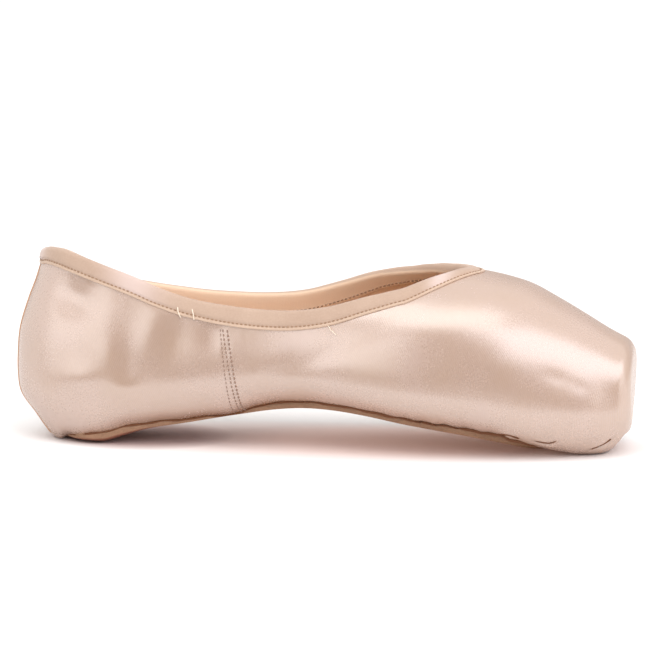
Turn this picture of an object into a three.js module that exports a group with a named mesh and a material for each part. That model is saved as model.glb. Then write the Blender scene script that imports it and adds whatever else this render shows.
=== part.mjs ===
// Pointe shoe, one shoe standing empty on its sole. Millimetres, +X to the toe, +Z up.
//
// The last is a solid form whose half-width is known at every station and height. Spokes leave a
// spine inside it, fan out round the heel and the toe, and find its skin. Each piece is made of
// rings of points on those spokes, so upper, binding, sole and insole all follow one form.

import * as THREE from "three";
import { mergeVertices } from "three/addons/utils/BufferGeometryUtils.js";

// Driving sizes
const PLATFORM_STATION = 236.4;
const HEEL_WALL = 1.2;
const BOX_WALL = 3;
const CLEARANCE = 0.3;
const BINDING_INSIDE_EXTRA = 1.5;
const BINDING_THICKNESS = 0.9;
const SOLE_BEVEL = 0.7;
const LASTING_MARGIN = 3;
const INSOLE_THICKNESS = 1.4;
const INSOLE_LAP = 2;
const PLATFORM_TILT_DEG = 3;
const PLATFORM_RIM_RADIUS = 4.6;
const PLATFORM_MID_HEIGHT = 24;

// Where along the shoe a shape comes in or dies out
const HEEL_SHAPE = { start: 12, end: 90 };
const PLATFORM_LEAN = { start: 196, end: 226 };
const BOX_STIFFENER = { start: 135, end: 190 };

// Power of the curve that closes an end in plan: 2 is a circle, more is fuller
const CIRCLE = 2;
const HEEL_FULLNESS = 2.3;

// Section of the binding, in shares of its outer face's distance from the satin or in millimetres.
// The hem is its lower edge outside, the shoulder is where it starts to roll over the collar.
const BINDING_HEM_SHARE = 0.8;
const BINDING_HEM_DROP = 0.2;
const BINDING_SHOULDER_DEPTH = 0.9;
const BINDING_SHOULDER_SHARE = 0.75;
const BINDING_SHOULDER_RISE = 0.7;
const BINDING_CREST_RISE = 1.1;
const BINDING_LEAST_SLANT = 0.55;

// The spine that the spokes leave: its two ends are the centres of the heel and toe fans
const HEEL_CENTRE = 35;
const TOE_CENTRE = 150;
const SPINE_HEIGHT = 31;

// How many facets the form gets
const SPOKES_PER_SIDE = 43;
const UPPER_ROWS = 19;
const OUTSOLE_RING_SHARE = 0.6;
const INSOLE_RING_SHARES = [0, 0.45, 0.8, 1];

// How finely curves are measured before facets are spread along them. A turning is the length
// that one radian of bend counts for.
const LONGEST_REACH = 160;
const HALVINGS = 36;
const OUTLINE_STEPS = 600;
const OUTLINE_TURNING = 26;
const PATH_STEPS = 240;
const PATH_TURNING = 9;
const PATH_STEPS_FOR_SLOPE = 6;
const SLOPE_STEP = 0.5;
const NEARLY_NOTHING = 1e-9;
const NEARLY_UPRIGHT = Math.PI / 2 - 0.01;
const WELD_DISTANCE = 1e-3;

// Sections of the last. station: distance from the heel. half, widest: largest half-width and its
// height. crown: top of the section, above the collar where the last is open. above, below: how
// square the section is over and under its widest height.
const LAST = table([
  { station: 0, half: 25.6, widest: 31, crown: 120, above: 2.1, below: 3.2 },
  { station: 24, half: 25.8, widest: 31, crown: 116, above: 2.1, below: 2.8 },
  { station: 36, half: 26, widest: 31, crown: 111, above: 2.05, below: 2.6 },
  { station: 52, half: 26.2, widest: 31, crown: 102, above: 1.95, below: 2.7 },
  { station: 69, half: 26.2, widest: 32, crown: 93, above: 1.9, below: 2.8 },
  { station: 87, half: 26.4, widest: 33, crown: 86, above: 1.85, below: 2.8 },
  { station: 101, half: 27.2, widest: 33, crown: 80, above: 1.8, below: 2.8 },
  { station: 112, half: 28.6, widest: 33, crown: 76, above: 1.8, below: 2.8 },
  { station: 123, half: 31, widest: 32, crown: 73.5, above: 1.8, below: 2.9 },
  { station: 136, half: 34, widest: 31, crown: 71.4, above: 1.85, below: 3 },
  { station: 152, half: 36.2, widest: 29, crown: 69.8, above: 2, below: 3 },
  { station: 165, half: 36.8, widest: 28, crown: 68.2, above: 2.1, below: 3 },
  { station: 177, half: 36.6, widest: 27, crown: 67, above: 2.2, below: 3 },
  { station: 189, half: 35.4, widest: 25, crown: 64.6, above: 2.3, below: 3 },
  { station: 198, half: 33.6, widest: 23, crown: 61.8, above: 2.3, below: 3 },
  { station: 207, half: 30.8, widest: 22, crown: 56.8, above: 2.3, below: 2.9 },
  { station: 217, half: 27, widest: 21, crown: 50.8, above: 2.3, below: 2.8 },
  { station: 226, half: 23.2, widest: 21.5, crown: 45.4, above: 2.4, below: 2.8 },
  { station: PLATFORM_STATION, half: 19.4, widest: 24, crown: 40.2, above: 2.6, below: 2.6 },
]);

// The bottom line by distance from the heel. base: lowest point of the last. sole: thickness of
// the outsole under it. The last dips behind the sole's back end and in front of its tip.
const BOTTOM = table([
  { at: 12, base: 0.2, sole: 2.5 },
  { at: 16, base: 0.3, sole: 2.5 },
  { at: 18.5, base: 1.3, sole: 2.5 },
  { at: 20.5, base: 2.8, sole: 2.5 },
  { at: 26, base: 3, sole: 2.8 },
  { at: 35.5, base: 3.7, sole: 3.5 },
  { at: 43, base: 5.5, sole: 3 },
  { at: 52, base: 7.8, sole: 2.6 },
  { at: 69, base: 10.7, sole: 2.2 },
  { at: 87, base: 13.7, sole: 2.1 },
  { at: 101, base: 15.9, sole: 2.1 },
  { at: 112, base: 16.8, sole: 2.1 },
  { at: 123, base: 16.5, sole: 2.1 },
  { at: 136, base: 15, sole: 2.1 },
  { at: 152, base: 12.4, sole: 2.1 },
  { at: 165, base: 10.6, sole: 2.1 },
  { at: 177, base: 8.8, sole: 2.1 },
  { at: 189, base: 6.4, sole: 2 },
  { at: 198, base: 3.5, sole: 1.6 },
  { at: 206, base: 1, sole: 0.8 },
  { at: 211, base: -0.2, sole: 0.8 },
  { at: 216, base: -1.2, sole: 0.8 },
  { at: 224, base: -1.2, sole: 0.8 },
  { at: 227, base: -0.5, sole: 0.8 },
  { at: 230, base: 1.6, sole: 0.8 },
  { at: 233, base: 4.8, sole: 0.8 },
  { at: 238, base: 6.6, sole: 0.8 },
]);

// How far the back of the heel lies from the rearmost point, by height
const HEEL_BACK = table([
  { height: 0, back: 15.6 },
  { height: 1.3, back: 13.6 },
  { height: 2.4, back: 12.4 },
  { height: 6, back: 9.4 },
  { height: 10.3, back: 5.9 },
  { height: 14, back: 2.9 },
  { height: 18, back: 0.9 },
  { height: 24, back: 0.1 },
  { height: 32, back: 0 },
  { height: 42, back: 0.5 },
  { height: 52, back: 3.2 },
  { height: 61, back: 6.2 },
  { height: 70, back: 8.5 },
  { height: 80, back: 10.4 },
]);

// Collar height on either side, up to the throat. The soft heel leans, so the two differ.
// binding: how far down the outside the binding reaches, narrower where it is pulled taut.
const COLLAR = table([
  { station: 9, near: 70.8, far: 70, binding: 4.6 },
  { station: 14, near: 72.6, far: 68.2, binding: 5.6 },
  { station: 19, near: 72.8, far: 65.2, binding: 6.2 },
  { station: 26, near: 71.4, far: 61.2, binding: 6.3 },
  { station: 33, near: 69.4, far: 57.8, binding: 6.3 },
  { station: 40, near: 67.1, far: 55.6, binding: 6.3 },
  { station: 49, near: 64, far: 54.2, binding: 6.3 },
  { station: 59, near: 60, far: 53.1, binding: 6.2 },
  { station: 69, near: 56.9, far: 52.2, binding: 6.2 },
  { station: 80, near: 54.9, far: 51.8, binding: 6.5 },
  { station: 94, near: 53.4, far: 51.9, binding: 6.7 },
  { station: 108, near: 53.1, far: 53.4, binding: 6.7 },
  { station: 122, near: 54.9, far: 57.4, binding: 6.7 },
  { station: 136, near: 58.7, far: 62, binding: 6.6 },
  { station: TOE_CENTRE, near: 62, far: 64.6, binding: 6.2 },
  { station: 175, near: 68, far: 68, binding: 5.8 },
]);

// The front of the opening in plan: its length, and its power, from 1 for a point to 2 for a round
const THROAT_LENGTH = 23.5;
const THROAT_POINT = 1.3;

// Outline of the sole: half-width by distance from the heel, closed by a round at either end
const SOLE_BACK = 20.5;
const SOLE_FRONT = 206;
const SOLE = table([
  { station: SOLE_BACK, half: 15.4 },
  { station: 34, half: 16.2 },
  { station: 55, half: 14.8 },
  { station: 80, half: 12.8 },
  { station: 104, half: 12.4 },
  { station: 128, half: 14.8 },
  { station: 150, half: 18 },
  { station: 170, half: 20 },
  { station: 186, half: 20 },
  { station: SOLE_FRONT, half: 17.6 },
]);
const SOLE_HEEL_ROUND = 13;
const SOLE_TIP_ROUND = 24;

// Lean of the soft heel: sideways shift for each millimetre of height, gone by mid-shoe
const LEAN_PER_HEIGHT = 0.13;
const LEAN_PIVOT = 34;
const LEAN_END = 125;

const OUTSOLE_BEVEL_SHARE = 0.45;
const INSOLE_LIFT = 0.2;
const WIDEST_BASE_SHARE = 0.98;

const FINISHES = {
  upper: { color: 0xecd0c4, roughness: 0.4 },
  binding: { color: 0xdec5ae, roughness: 0.85 },
  outsole: { color: 0xc89f80, roughness: 0.7 },
  insole: { color: 0xe2c2a4, roughness: 0.9 },
};

// A table of rows with named columns, read between its rows by a smooth curve. The first column
// is what it is read by.
function table(rows) {
  const [key, ...columns] = Object.keys(rows[0]);
  const curve = new THREE.CubicInterpolant(
    rows.map((row) => row[key]),
    rows.flatMap((row) => columns.map((column) => row[column])),
    columns.length,
  );
  const first = rows[0][key];
  const last = rows[rows.length - 1][key];
  return (at) => {
    const values = curve.evaluate(THREE.MathUtils.clamp(at, first, last));
    return Object.fromEntries(columns.map((column, i) => [column, values[i]]));
  };
}

// From 1 before the start of a stretch to 0 after its end
function fade(at, { start, end }) {
  return 1 - THREE.MathUtils.smoothstep(at, start, end);
}

// Half-width over full half-width of an end that closes in a round of the given length
function roundEnd(distance, length, fullness) {
  const left = THREE.MathUtils.clamp(1 - distance / length, 0, 1);
  return Math.sqrt(1 - left ** fullness);
}

// Station of a point in the straight last: the heel's back is then upright and so is the platform
function stationOf(x, z) {
  const backward = HEEL_BACK(z).back * fade(x, HEEL_SHAPE);
  const platformLean = Math.tan(THREE.MathUtils.degToRad(PLATFORM_TILT_DEG));
  const forward = (z - PLATFORM_MID_HEIGHT) * platformLean * (1 - fade(x, PLATFORM_LEAN));
  return x - backward - forward;
}

// The section at a place, drawn in where the heel and the platform's rim close the form
function sectionAt(x, z) {
  const station = stationOf(x, z);
  const section = { station, ...LAST(station), base: BOTTOM(x).base };
  section.half *= roundEnd(station, HEEL_CENTRE, HEEL_FULLNESS);
  const intoRim = Math.max(0, station - PLATFORM_STATION + PLATFORM_RIM_RADIUS);
  const reach = Math.min(intoRim, PLATFORM_RIM_RADIUS);
  const inset = PLATFORM_RIM_RADIUS - Math.sqrt(PLATFORM_RIM_RADIUS ** 2 - reach ** 2);
  section.half -= inset;
  section.crown -= inset;
  section.base += inset;
  return section;
}

// Half-width of a section at a height, negative over its crown and under its base
function halfWidth(section, z) {
  const over = z > section.widest;
  const reach = over ? section.crown - section.widest : section.widest - section.base;
  const power = over ? section.above : section.below;
  const share = Math.abs(z - section.widest) / reach;
  if (share >= 1) return -share;
  return section.half * (1 - share ** power) ** (1 / power);
}

// Whether a point of the upright form is inside the last. Floor and platform trim it flat.
function insideLast(x, y, z) {
  const section = sectionAt(x, z);
  if (z < 0 || section.station < 0 || section.station > PLATFORM_STATION) return false;
  return Math.abs(y) < halfWidth(section, z);
}

// Largest value up to limit for which test holds, found by halving. It holds from 0 up to there.
function furthest(limit, test) {
  let low = 0;
  let high = limit;
  for (let step = 0; step < HALVINGS; step += 1) {
    const middle = (low + high) / 2;
    if (test(middle)) low = middle;
    else high = middle;
  }
  return low;
}

// Half-width of the sole's outline, closed by a round at either end
function soleHalf(x, margin) {
  const back = SOLE_BACK + margin;
  const front = SOLE_FRONT - margin;
  if (x <= back || x >= front) return 0;
  const heel = roundEnd(x - back, SOLE_HEEL_ROUND - margin / 2, CIRCLE);
  const tip = roundEnd(front - x, SOLE_TIP_ROUND - margin / 2, CIRCLE);
  return (SOLE(x).half - margin) * heel * tip;
}

// The last as drawn leans at the heel: a point of the upright form goes to its real place
function leaned(x, y, z) {
  const lean = LEAN_PER_HEIGHT * (z - LEAN_PIVOT) * fade(x, { start: 0, end: LEAN_END });
  return new THREE.Vector3(x, y + lean, z);
}

// A spoke: from a point of the spine outwards in plan, towards a point of the widest outline
class Spoke {
  constructor(x, y) {
    this.start = THREE.MathUtils.clamp(x, HEEL_CENTRE, TOE_CENTRE);
    this.direction = new THREE.Vector2(x - this.start, y).normalize();
    this.far = y > 0;
  }

  // Point of the upright form at a distance from the spine, at an elevation
  upright(distance, elevation) {
    const out = distance * Math.cos(elevation);
    return new THREE.Vector3(
      this.start + out * this.direction.x,
      out * this.direction.y,
      SPINE_HEIGHT + distance * Math.sin(elevation),
    );
  }

  // Where the spoke leaves the last
  skin(elevation) {
    const distance = furthest(LONGEST_REACH, (d) => {
      const p = this.upright(d, elevation);
      return insideLast(p.x, p.y, p.z);
    });
    return this.upright(distance, elevation);
  }

  // Distance in plan of a point from this spoke's start
  planDistance(p) {
    return Math.hypot(p.x - this.start, p.y);
  }

  // How far the sole's outline, drawn in by margin, lies from the spine
  soleDistance(margin) {
    return furthest(LONGEST_REACH, (d) => {
      const x = this.start + d * this.direction.x;
      return Math.abs(d * this.direction.y) < soleHalf(x, margin);
    });
  }

  // Elevation of the edge that is turned in under the foot
  featherElevation() {
    const reach = this.soleDistance(LASTING_MARGIN);
    const steepest = Math.PI / 2;
    const rise = furthest(steepest, (e) => this.planDistance(this.skin(e - steepest)) < reach);
    return rise - steepest;
  }

  // Elevation of the collar: by its height along the side, by its plan round the throat
  collarElevation() {
    if (this.start === TOE_CENTRE && this.direction.x > 0) {
      const inOpening = (drop) => this.inThroat(this.skin(NEARLY_UPRIGHT - drop));
      return NEARLY_UPRIGHT - furthest(NEARLY_UPRIGHT, inOpening);
    }
    return furthest(NEARLY_UPRIGHT, (e) => {
      const p = this.skin(e);
      return p.z < this.collarHeight(p.x);
    });
  }

  collarHeight(x) {
    const collar = COLLAR(x);
    return this.far ? collar.far : collar.near;
  }

  // Whether a point of the skin lies over the pointed end of the opening
  inThroat(p) {
    const side = this.throatHalf();
    const forward = (p.x - TOE_CENTRE) / THROAT_LENGTH;
    const across = Math.abs(p.y) / side;
    return forward ** THROAT_POINT + across ** THROAT_POINT < 1;
  }

  // Half-width of the opening where the throat begins
  throatHalf() {
    const height = this.collarHeight(TOE_CENTRE);
    return halfWidth(sectionAt(TOE_CENTRE, height), height);
  }

  // Points of the skin from the turned-in edge to the collar, close enough to measure along
  finePath() {
    const from = this.featherElevation();
    const to = this.collarElevation();
    return Array.from({ length: PATH_STEPS + 1 }, (_, i) => {
      const p = this.skin(THREE.MathUtils.lerp(from, to, i / PATH_STEPS));
      return leaned(p.x, p.y, p.z);
    });
  }
}

// Points spread along a path by its length and by how much it turns, so that facets gather
// where the form bends
function spread(path, count, turning) {
  const weight = [0];
  for (let i = 1; i < path.length; i += 1) {
    const step = path[i].clone().sub(path[i - 1]);
    const next = i + 1 < path.length ? path[i + 1].clone().sub(path[i]) : step;
    weight.push(weight[i - 1] + step.length() + turning * step.angleTo(next));
  }
  const total = weight[weight.length - 1];
  return Array.from({ length: count + 1 }, (_, i) => alongPath(path, weight, (total * i) / count));
}

// Point of a path at a value of a measure that grows along it
function alongPath(path, measure, value) {
  const after = measure.findIndex((m, i) => i > 0 && m >= value - NEARLY_NOTHING);
  const i = after < 0 ? measure.length - 1 : after;
  const share = (value - measure[i - 1]) / (measure[i] - measure[i - 1]);
  return path[i - 1].clone().lerp(path[i], THREE.MathUtils.clamp(share, 0, 1));
}

// The widest outline of the near side from heel to toe, and the spokes that point at it
function makeSpokes() {
  const outline = [];
  const centre = (HEEL_CENTRE + TOE_CENTRE) / 2;
  for (let i = 0; i <= OUTLINE_STEPS; i += 1) {
    const angle = (Math.PI * i) / OUTLINE_STEPS;
    const direction = new THREE.Vector2(-Math.cos(angle), -Math.sin(angle));
    const distance = furthest(LONGEST_REACH, (d) =>
      insideLast(centre + d * direction.x, d * direction.y, PLATFORM_MID_HEIGHT),
    );
    outline.push(new THREE.Vector2(centre + distance * direction.x, distance * direction.y));
  }
  const targets = spread(outline, SPOKES_PER_SIDE, OUTLINE_TURNING);
  const heel = new Spoke(targets[0].x, 0);
  const toe = new Spoke(targets[SPOKES_PER_SIDE].x, 0);
  const sides = targets.slice(1, -1);
  const near = sides.map((p) => new Spoke(p.x, p.y));
  const far = sides.map((p) => new Spoke(p.x, -p.y)).reverse();
  return [heel, ...near, toe, ...far];
}

// Outward normals of a sheet given as rings, each ring closed round the shoe
function ringNormals(rings) {
  return rings.map((ring, r) =>
    ring.map((p, s) => {
      const along = ring[(s + 1) % ring.length]
        .clone()
        .sub(ring[(s + ring.length - 1) % ring.length]);
      const above = rings[Math.min(r + 1, rings.length - 1)][s];
      const under = rings[Math.max(r - 1, 0)][s];
      return along.cross(above.clone().sub(under)).normalize();
    }),
  );
}

function offsetRings(rings, normals, distanceAt) {
  return rings.map((ring, r) =>
    ring.map((p, s) => p.clone().addScaledVector(normals[r][s], distanceAt(p))),
  );
}

// One closed body from rings of points round the shoe. With joined, the last ring meets the first.
function bodyOfRings(rings, joined) {
  const positions = [];
  const count = rings[0].length;
  const bands = joined ? rings.length : rings.length - 1;
  for (let r = 0; r < bands; r += 1) {
    const lower = rings[r];
    const upper = rings[(r + 1) % rings.length];
    for (let s = 0; s < count; s += 1) {
      const t = (s + 1) % count;
      for (const p of [lower[s], lower[t], upper[t], lower[s], upper[t], upper[s]]) {
        positions.push(p.x, p.y, p.z);
      }
    }
  }
  const loose = new THREE.BufferGeometry();
  loose.setAttribute("position", new THREE.Float32BufferAttribute(positions, 3));
  const geometry = mergeVertices(loose, WELD_DISTANCE);
  const corners = geometry.index.array;
  const kept = [];
  for (let i = 0; i < corners.length; i += 3) {
    const [a, b, c] = corners.slice(i, i + 3);
    if (a !== b && b !== c && c !== a) kept.push(a, b, c);
  }
  geometry.setIndex(kept);
  geometry.computeVertexNormals();
  return geometry;
}

// Wall of the upper, thick where the box is stiffened
function wallAt(x) {
  return THREE.MathUtils.lerp(BOX_WALL, HEEL_WALL, fade(x, BOX_STIFFENER));
}

// The upper: its skin outside, its lining inside, joined at the collar and under the foot
function makeUpper(paths) {
  const skin = ringsOf(paths.map((path) => spread(path, UPPER_ROWS, PATH_TURNING)));
  const lining = offsetRings(skin, ringNormals(skin), (p) => -wallAt(p.x));
  return bodyOfRings([...skin, ...lining.reverse()], true);
}

// Turns one path for each spoke into rings round the shoe
function ringsOf(paths) {
  return paths[0].map((_, row) => paths.map((path) => path[row]));
}

// The binding: a tape folded over the collar, outside and inside
function makeBinding(paths) {
  const collar = paths.map((path) => path[path.length - 1]);
  const rows = paths.map((path, s) => {
    const around = collar[(s + 1) % collar.length]
      .clone()
      .sub(collar[(s + collar.length - 1) % collar.length])
      .normalize();
    const last = path.length - 1;
    const up = path[last].clone().sub(path[last - PATH_STEPS_FOR_SLOPE]).normalize();
    const slant = Math.max(BINDING_LEAST_SLANT, up.clone().cross(around).length());
    const measure = [0];
    const down = path.slice().reverse();
    for (let i = 1; i < down.length; i += 1) {
      measure.push(measure[i - 1] + down[i].distanceTo(down[i - 1]));
    }
    const width = COLLAR(down[0].x).binding;
    const depths = [width, width / 2, BINDING_SHOULDER_DEPTH, 0];
    return depths.map((depth) => alongPath(down, measure, depth / slant));
  });
  const sheet = ringsOf(rows);
  const normals = ringNormals(sheet);
  const shifted = (row, distance, rise) =>
    sheet[row].map((p, s) => {
      const normal = normals[row][s];
      const up = sheet[3][s].clone().sub(sheet[2][s]).normalize();
      const wall = wallAt(p.x);
      return p
        .clone()
        .addScaledVector(normal, distance(wall))
        .addScaledVector(up, rise);
    });
  const outFace = CLEARANCE + BINDING_THICKNESS;
  const shoulder = outFace * BINDING_SHOULDER_SHARE;
  const shoulderRise = CLEARANCE + BINDING_SHOULDER_RISE;
  const crestRise = CLEARANCE + BINDING_CREST_RISE;
  const section = [
    shifted(0, () => CLEARANCE, 0),
    shifted(0, () => outFace * BINDING_HEM_SHARE, -BINDING_HEM_DROP),
    shifted(1, () => outFace, 0),
    shifted(2, () => outFace, 0),
    shifted(3, () => shoulder, shoulderRise),
    shifted(3, (wall) => -wall / 2, crestRise),
    shifted(3, (wall) => -wall - shoulder, shoulderRise),
    shifted(2, (wall) => -wall - outFace, 0),
    shifted(1, (wall) => -wall - outFace, -BINDING_INSIDE_EXTRA),
    shifted(1, (wall) => -wall - CLEARANCE, -BINDING_INSIDE_EXTRA),
    shifted(2, (wall) => -wall - CLEARANCE, 0),
    shifted(3, (wall) => -wall - CLEARANCE, CLEARANCE),
    shifted(3, () => CLEARANCE, CLEARANCE),
    shifted(2, () => CLEARANCE, 0),
    shifted(1, () => CLEARANCE, 0),
  ];
  return bodyOfRings(section, true);
}

// Height of the last's bottom at a place in plan
function baseHeight(x, y) {
  const section = sectionAt(x, BOTTOM(x).base);
  const share = Math.min(Math.abs(y) / section.half, WIDEST_BASE_SHARE);
  const drop = (section.widest - section.base) * (1 - share ** section.below) ** (1 / section.below);
  return section.widest - drop;
}

// Ring at a share of each spoke's reach, at a height that the place decides
function planRing(spokes, reachOf, share, heightAt) {
  return spokes.map((spoke) => {
    const out = reachOf(spoke) * share;
    const x = spoke.start + out * spoke.direction.x;
    const y = out * spoke.direction.y;
    return leaned(x, y, heightAt(x, y));
  });
}

// The outsole: flat across, bent along the arch, bevelled underneath, thinned at its tip
function makeOutsole(spokes) {
  const top = (x) => BOTTOM(x).base - CLEARANCE;
  const under = (x) => Math.max(0, top(x) - BOTTOM(x).sole);
  const reach = (spoke) => spoke.soleDistance(0);
  const inner = (spoke) => spoke.soleDistance(SOLE_BEVEL);
  const bevelTop = (x) => THREE.MathUtils.lerp(under(x), top(x), OUTSOLE_BEVEL_SHARE);
  return bodyOfRings(
    [
      planRing(spokes, inner, 0, under),
      planRing(spokes, inner, OUTSOLE_RING_SHARE, under),
      planRing(spokes, inner, 1, under),
      planRing(spokes, reach, 1, bevelTop),
      planRing(spokes, reach, 1, top),
      planRing(spokes, reach, OUTSOLE_RING_SHARE, top),
      planRing(spokes, reach, 0, top),
    ],
    false,
  );
}

// The insole: a thin sock dished to the last's bottom, lying on the turned-in edge of the upper
function makeInsole(spokes) {
  const reach = (spoke) => spoke.soleDistance(0) + INSOLE_LAP;
  const slope = (ahead, behind) => (ahead - behind) / (2 * SLOPE_STEP);
  const slant = (x, y) => {
    const along = slope(baseHeight(x + SLOPE_STEP, y), baseHeight(x - SLOPE_STEP, y));
    const across = slope(baseHeight(x, y + SLOPE_STEP), baseHeight(x, y - SLOPE_STEP));
    return Math.hypot(1, along, across);
  };
  const overWall = (x, y) => (wallAt(x) + CLEARANCE) * slant(x, y) + INSOLE_LIFT;
  const low = (x, y) => baseHeight(x, y) + overWall(x, y);
  const high = (x, y) => low(x, y) + INSOLE_THICKNESS;
  const lows = INSOLE_RING_SHARES.map((share) => planRing(spokes, reach, share, low));
  const highs = INSOLE_RING_SHARES.map((share) => planRing(spokes, reach, share, high));
  return bodyOfRings([...lows, ...highs.reverse()], false);
}

// A named mesh of the shoe with its own material
function piece(name, geometry) {
  const material = new THREE.MeshStandardMaterial({ ...FINISHES[name], metalness: 0 });
  const mesh = new THREE.Mesh(geometry, material);
  mesh.name = name;
  return mesh;
}

const spokes = makeSpokes();
const paths = spokes.map((spoke) => spoke.finePath());

const upper = makeUpper(paths);
upper.computeBoundingBox();
const middle = upper.boundingBox.getCenter(new THREE.Vector3());

// The group's origin lies under the middle of the shoe, on the floor
const shoe = new THREE.Group();
const assembly = new THREE.Group();
assembly.position.set(-middle.x, -middle.y, 0);
assembly.add(piece("upper", upper));
assembly.add(piece("binding", makeBinding(paths)));
assembly.add(piece("outsole", makeOutsole(spokes)));
assembly.add(piece("insole", makeInsole(spokes)));
shoe.add(assembly);

export default shoe;
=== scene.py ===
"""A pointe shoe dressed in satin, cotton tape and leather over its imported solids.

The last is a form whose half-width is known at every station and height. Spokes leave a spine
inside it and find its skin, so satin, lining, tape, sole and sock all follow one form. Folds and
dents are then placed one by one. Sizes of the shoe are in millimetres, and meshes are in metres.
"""

import logging
import math
from dataclasses import dataclass, field
from enum import Enum
from typing import Callable, Sequence

import bpy
import numpy as np
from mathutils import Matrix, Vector
from numpy.typing import NDArray

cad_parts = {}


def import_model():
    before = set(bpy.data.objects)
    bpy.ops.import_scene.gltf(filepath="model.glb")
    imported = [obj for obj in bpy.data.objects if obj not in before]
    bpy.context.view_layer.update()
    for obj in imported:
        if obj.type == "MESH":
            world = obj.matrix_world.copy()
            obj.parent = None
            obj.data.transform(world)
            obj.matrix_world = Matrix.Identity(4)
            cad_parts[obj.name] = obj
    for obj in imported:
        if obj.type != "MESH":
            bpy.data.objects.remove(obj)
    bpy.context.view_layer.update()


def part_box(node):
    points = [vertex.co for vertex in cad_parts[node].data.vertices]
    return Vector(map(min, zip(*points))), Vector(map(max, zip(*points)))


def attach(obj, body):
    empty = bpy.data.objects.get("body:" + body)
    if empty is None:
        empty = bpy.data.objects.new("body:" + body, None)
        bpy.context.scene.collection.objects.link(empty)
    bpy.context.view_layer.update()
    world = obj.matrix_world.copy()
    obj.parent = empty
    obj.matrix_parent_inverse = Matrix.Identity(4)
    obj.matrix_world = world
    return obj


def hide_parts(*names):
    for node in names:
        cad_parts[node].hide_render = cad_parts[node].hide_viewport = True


Array = NDArray[np.float64]
Colour = tuple[float, float, float]

MM = 0.001
HALVINGS = 26
OUTLINE_STEPS = 900
LONGEST_REACH = 160.0
NEARLY_UPRIGHT = math.pi / 2 - 0.01
NEARLY_ALONG = 0.9
CROWDED_LENGTH = 14.0
SIDE_BLEND = 5.0
LEAST_LENGTH = 1e-12
WELD_DISTANCE = 1e-6
HEADING_STEP = 0.3
LIT_HEIGHT = 0.03
BLACK: Colour = (0.0, 0.0, 0.0)

log = logging.getLogger("pointe_shoe")


class Side(Enum):
    """Which side of the shoe a mark is on. The value is the sign of y there."""

    NEAR = -1.0
    FAR = 1.0

    def share(self, points: Array) -> Array:
        """From 0 at the middle of the shoe to 1 well over on this side."""
        return np.clip(points[..., 1] * self.value / SIDE_BLEND, 0, 1)


@dataclass(frozen=True)
class Stretch:
    """A stretch of the shoe over which a shape comes in or dies out."""

    start: float
    end: float

    def rise(self, at: Array) -> Array:
        """From 0 before the start to 1 after the end."""
        share = np.clip((at - self.start) / (self.end - self.start), 0.0, 1.0)
        return share * share * (3.0 - 2.0 * share)

    def fade(self, at: Array) -> Array:
        """From 1 before the start to 0 after the end."""
        return 1.0 - self.rise(at)


@dataclass(frozen=True)
class Table:
    """Rows of sizes with named columns. The first column is what the table is read by."""

    columns: tuple[str, ...]
    rows: tuple[tuple[float, ...], ...]

    def read(self, at: Array) -> dict[str, Array]:
        """Reads every column by a smooth curve through the rows.

        Args:
            at: values of the first column, held to the table's ends.

        Returns:
            The other columns by name, each shaped as at.
        """
        rows = np.array(self.rows)
        knots = rows[:, 0]
        at = np.clip(np.asarray(at, dtype=float), knots[0], knots[-1])
        right = np.clip(np.searchsorted(knots, at, side="right"), 1, len(knots) - 1)
        left = right - 1
        before = np.where(right >= 2, right - 2, right)
        after = np.where(right + 1 < len(knots), right + 1, right - 1)
        half = (knots[right] - knots[left]) / 2
        weight_before = half / (knots[left] - knots[before])
        weight_after = half / (knots[after] - knots[right])
        p = (at - knots[left]) / (knots[right] - knots[left])
        p2 = p * p
        p3 = p2 * p
        share_before = weight_before * (2 * p2 - p3 - p)
        share_left = (1 + weight_before) * p3 - (1.5 + 2 * weight_before) * p2
        share_left += (weight_before - 0.5) * p + 1
        share_right = (1.5 + weight_after) * p2 - (1 + weight_after) * p3 + 0.5 * p
        share_after = weight_after * (p3 - p2)
        found = {}
        for index, name in enumerate(self.columns[1:], start=1):
            column = rows[:, index]
            found[name] = (
                share_before * column[before]
                + share_left * column[left]
                + share_right * column[right]
                + share_after * column[after]
            )
        return found


def furthest(limit: float, shape: tuple[int, ...], holds: Callable[[Array], Array]) -> Array:
    """Largest values up to a limit for which a test holds, found by halving.

    Args:
        limit: the largest value tried.
        shape: shape of the array of values.
        holds: the test, which is true from 0 up to the value that is looked for.

    Returns:
        The values found.
    """
    low = np.zeros(shape)
    high = np.full(shape, limit)
    for _ in range(HALVINGS):
        middle = (low + high) / 2
        good = holds(middle)
        low = np.where(good, middle, low)
        high = np.where(good, high, middle)
    return low


def round_end(distance: Array, length: float, fullness: float) -> Array:
    """Half-width over full half-width of an end that closes in a round of some length."""
    left = np.clip(1 - distance / length, 0, 1)
    return np.sqrt(1 - left**fullness)


def unit(vectors: Array) -> Array:
    """Vectors brought to length 1."""
    length = np.linalg.norm(vectors, axis=-1, keepdims=True)
    return vectors / np.maximum(length, LEAST_LENGTH)


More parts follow.
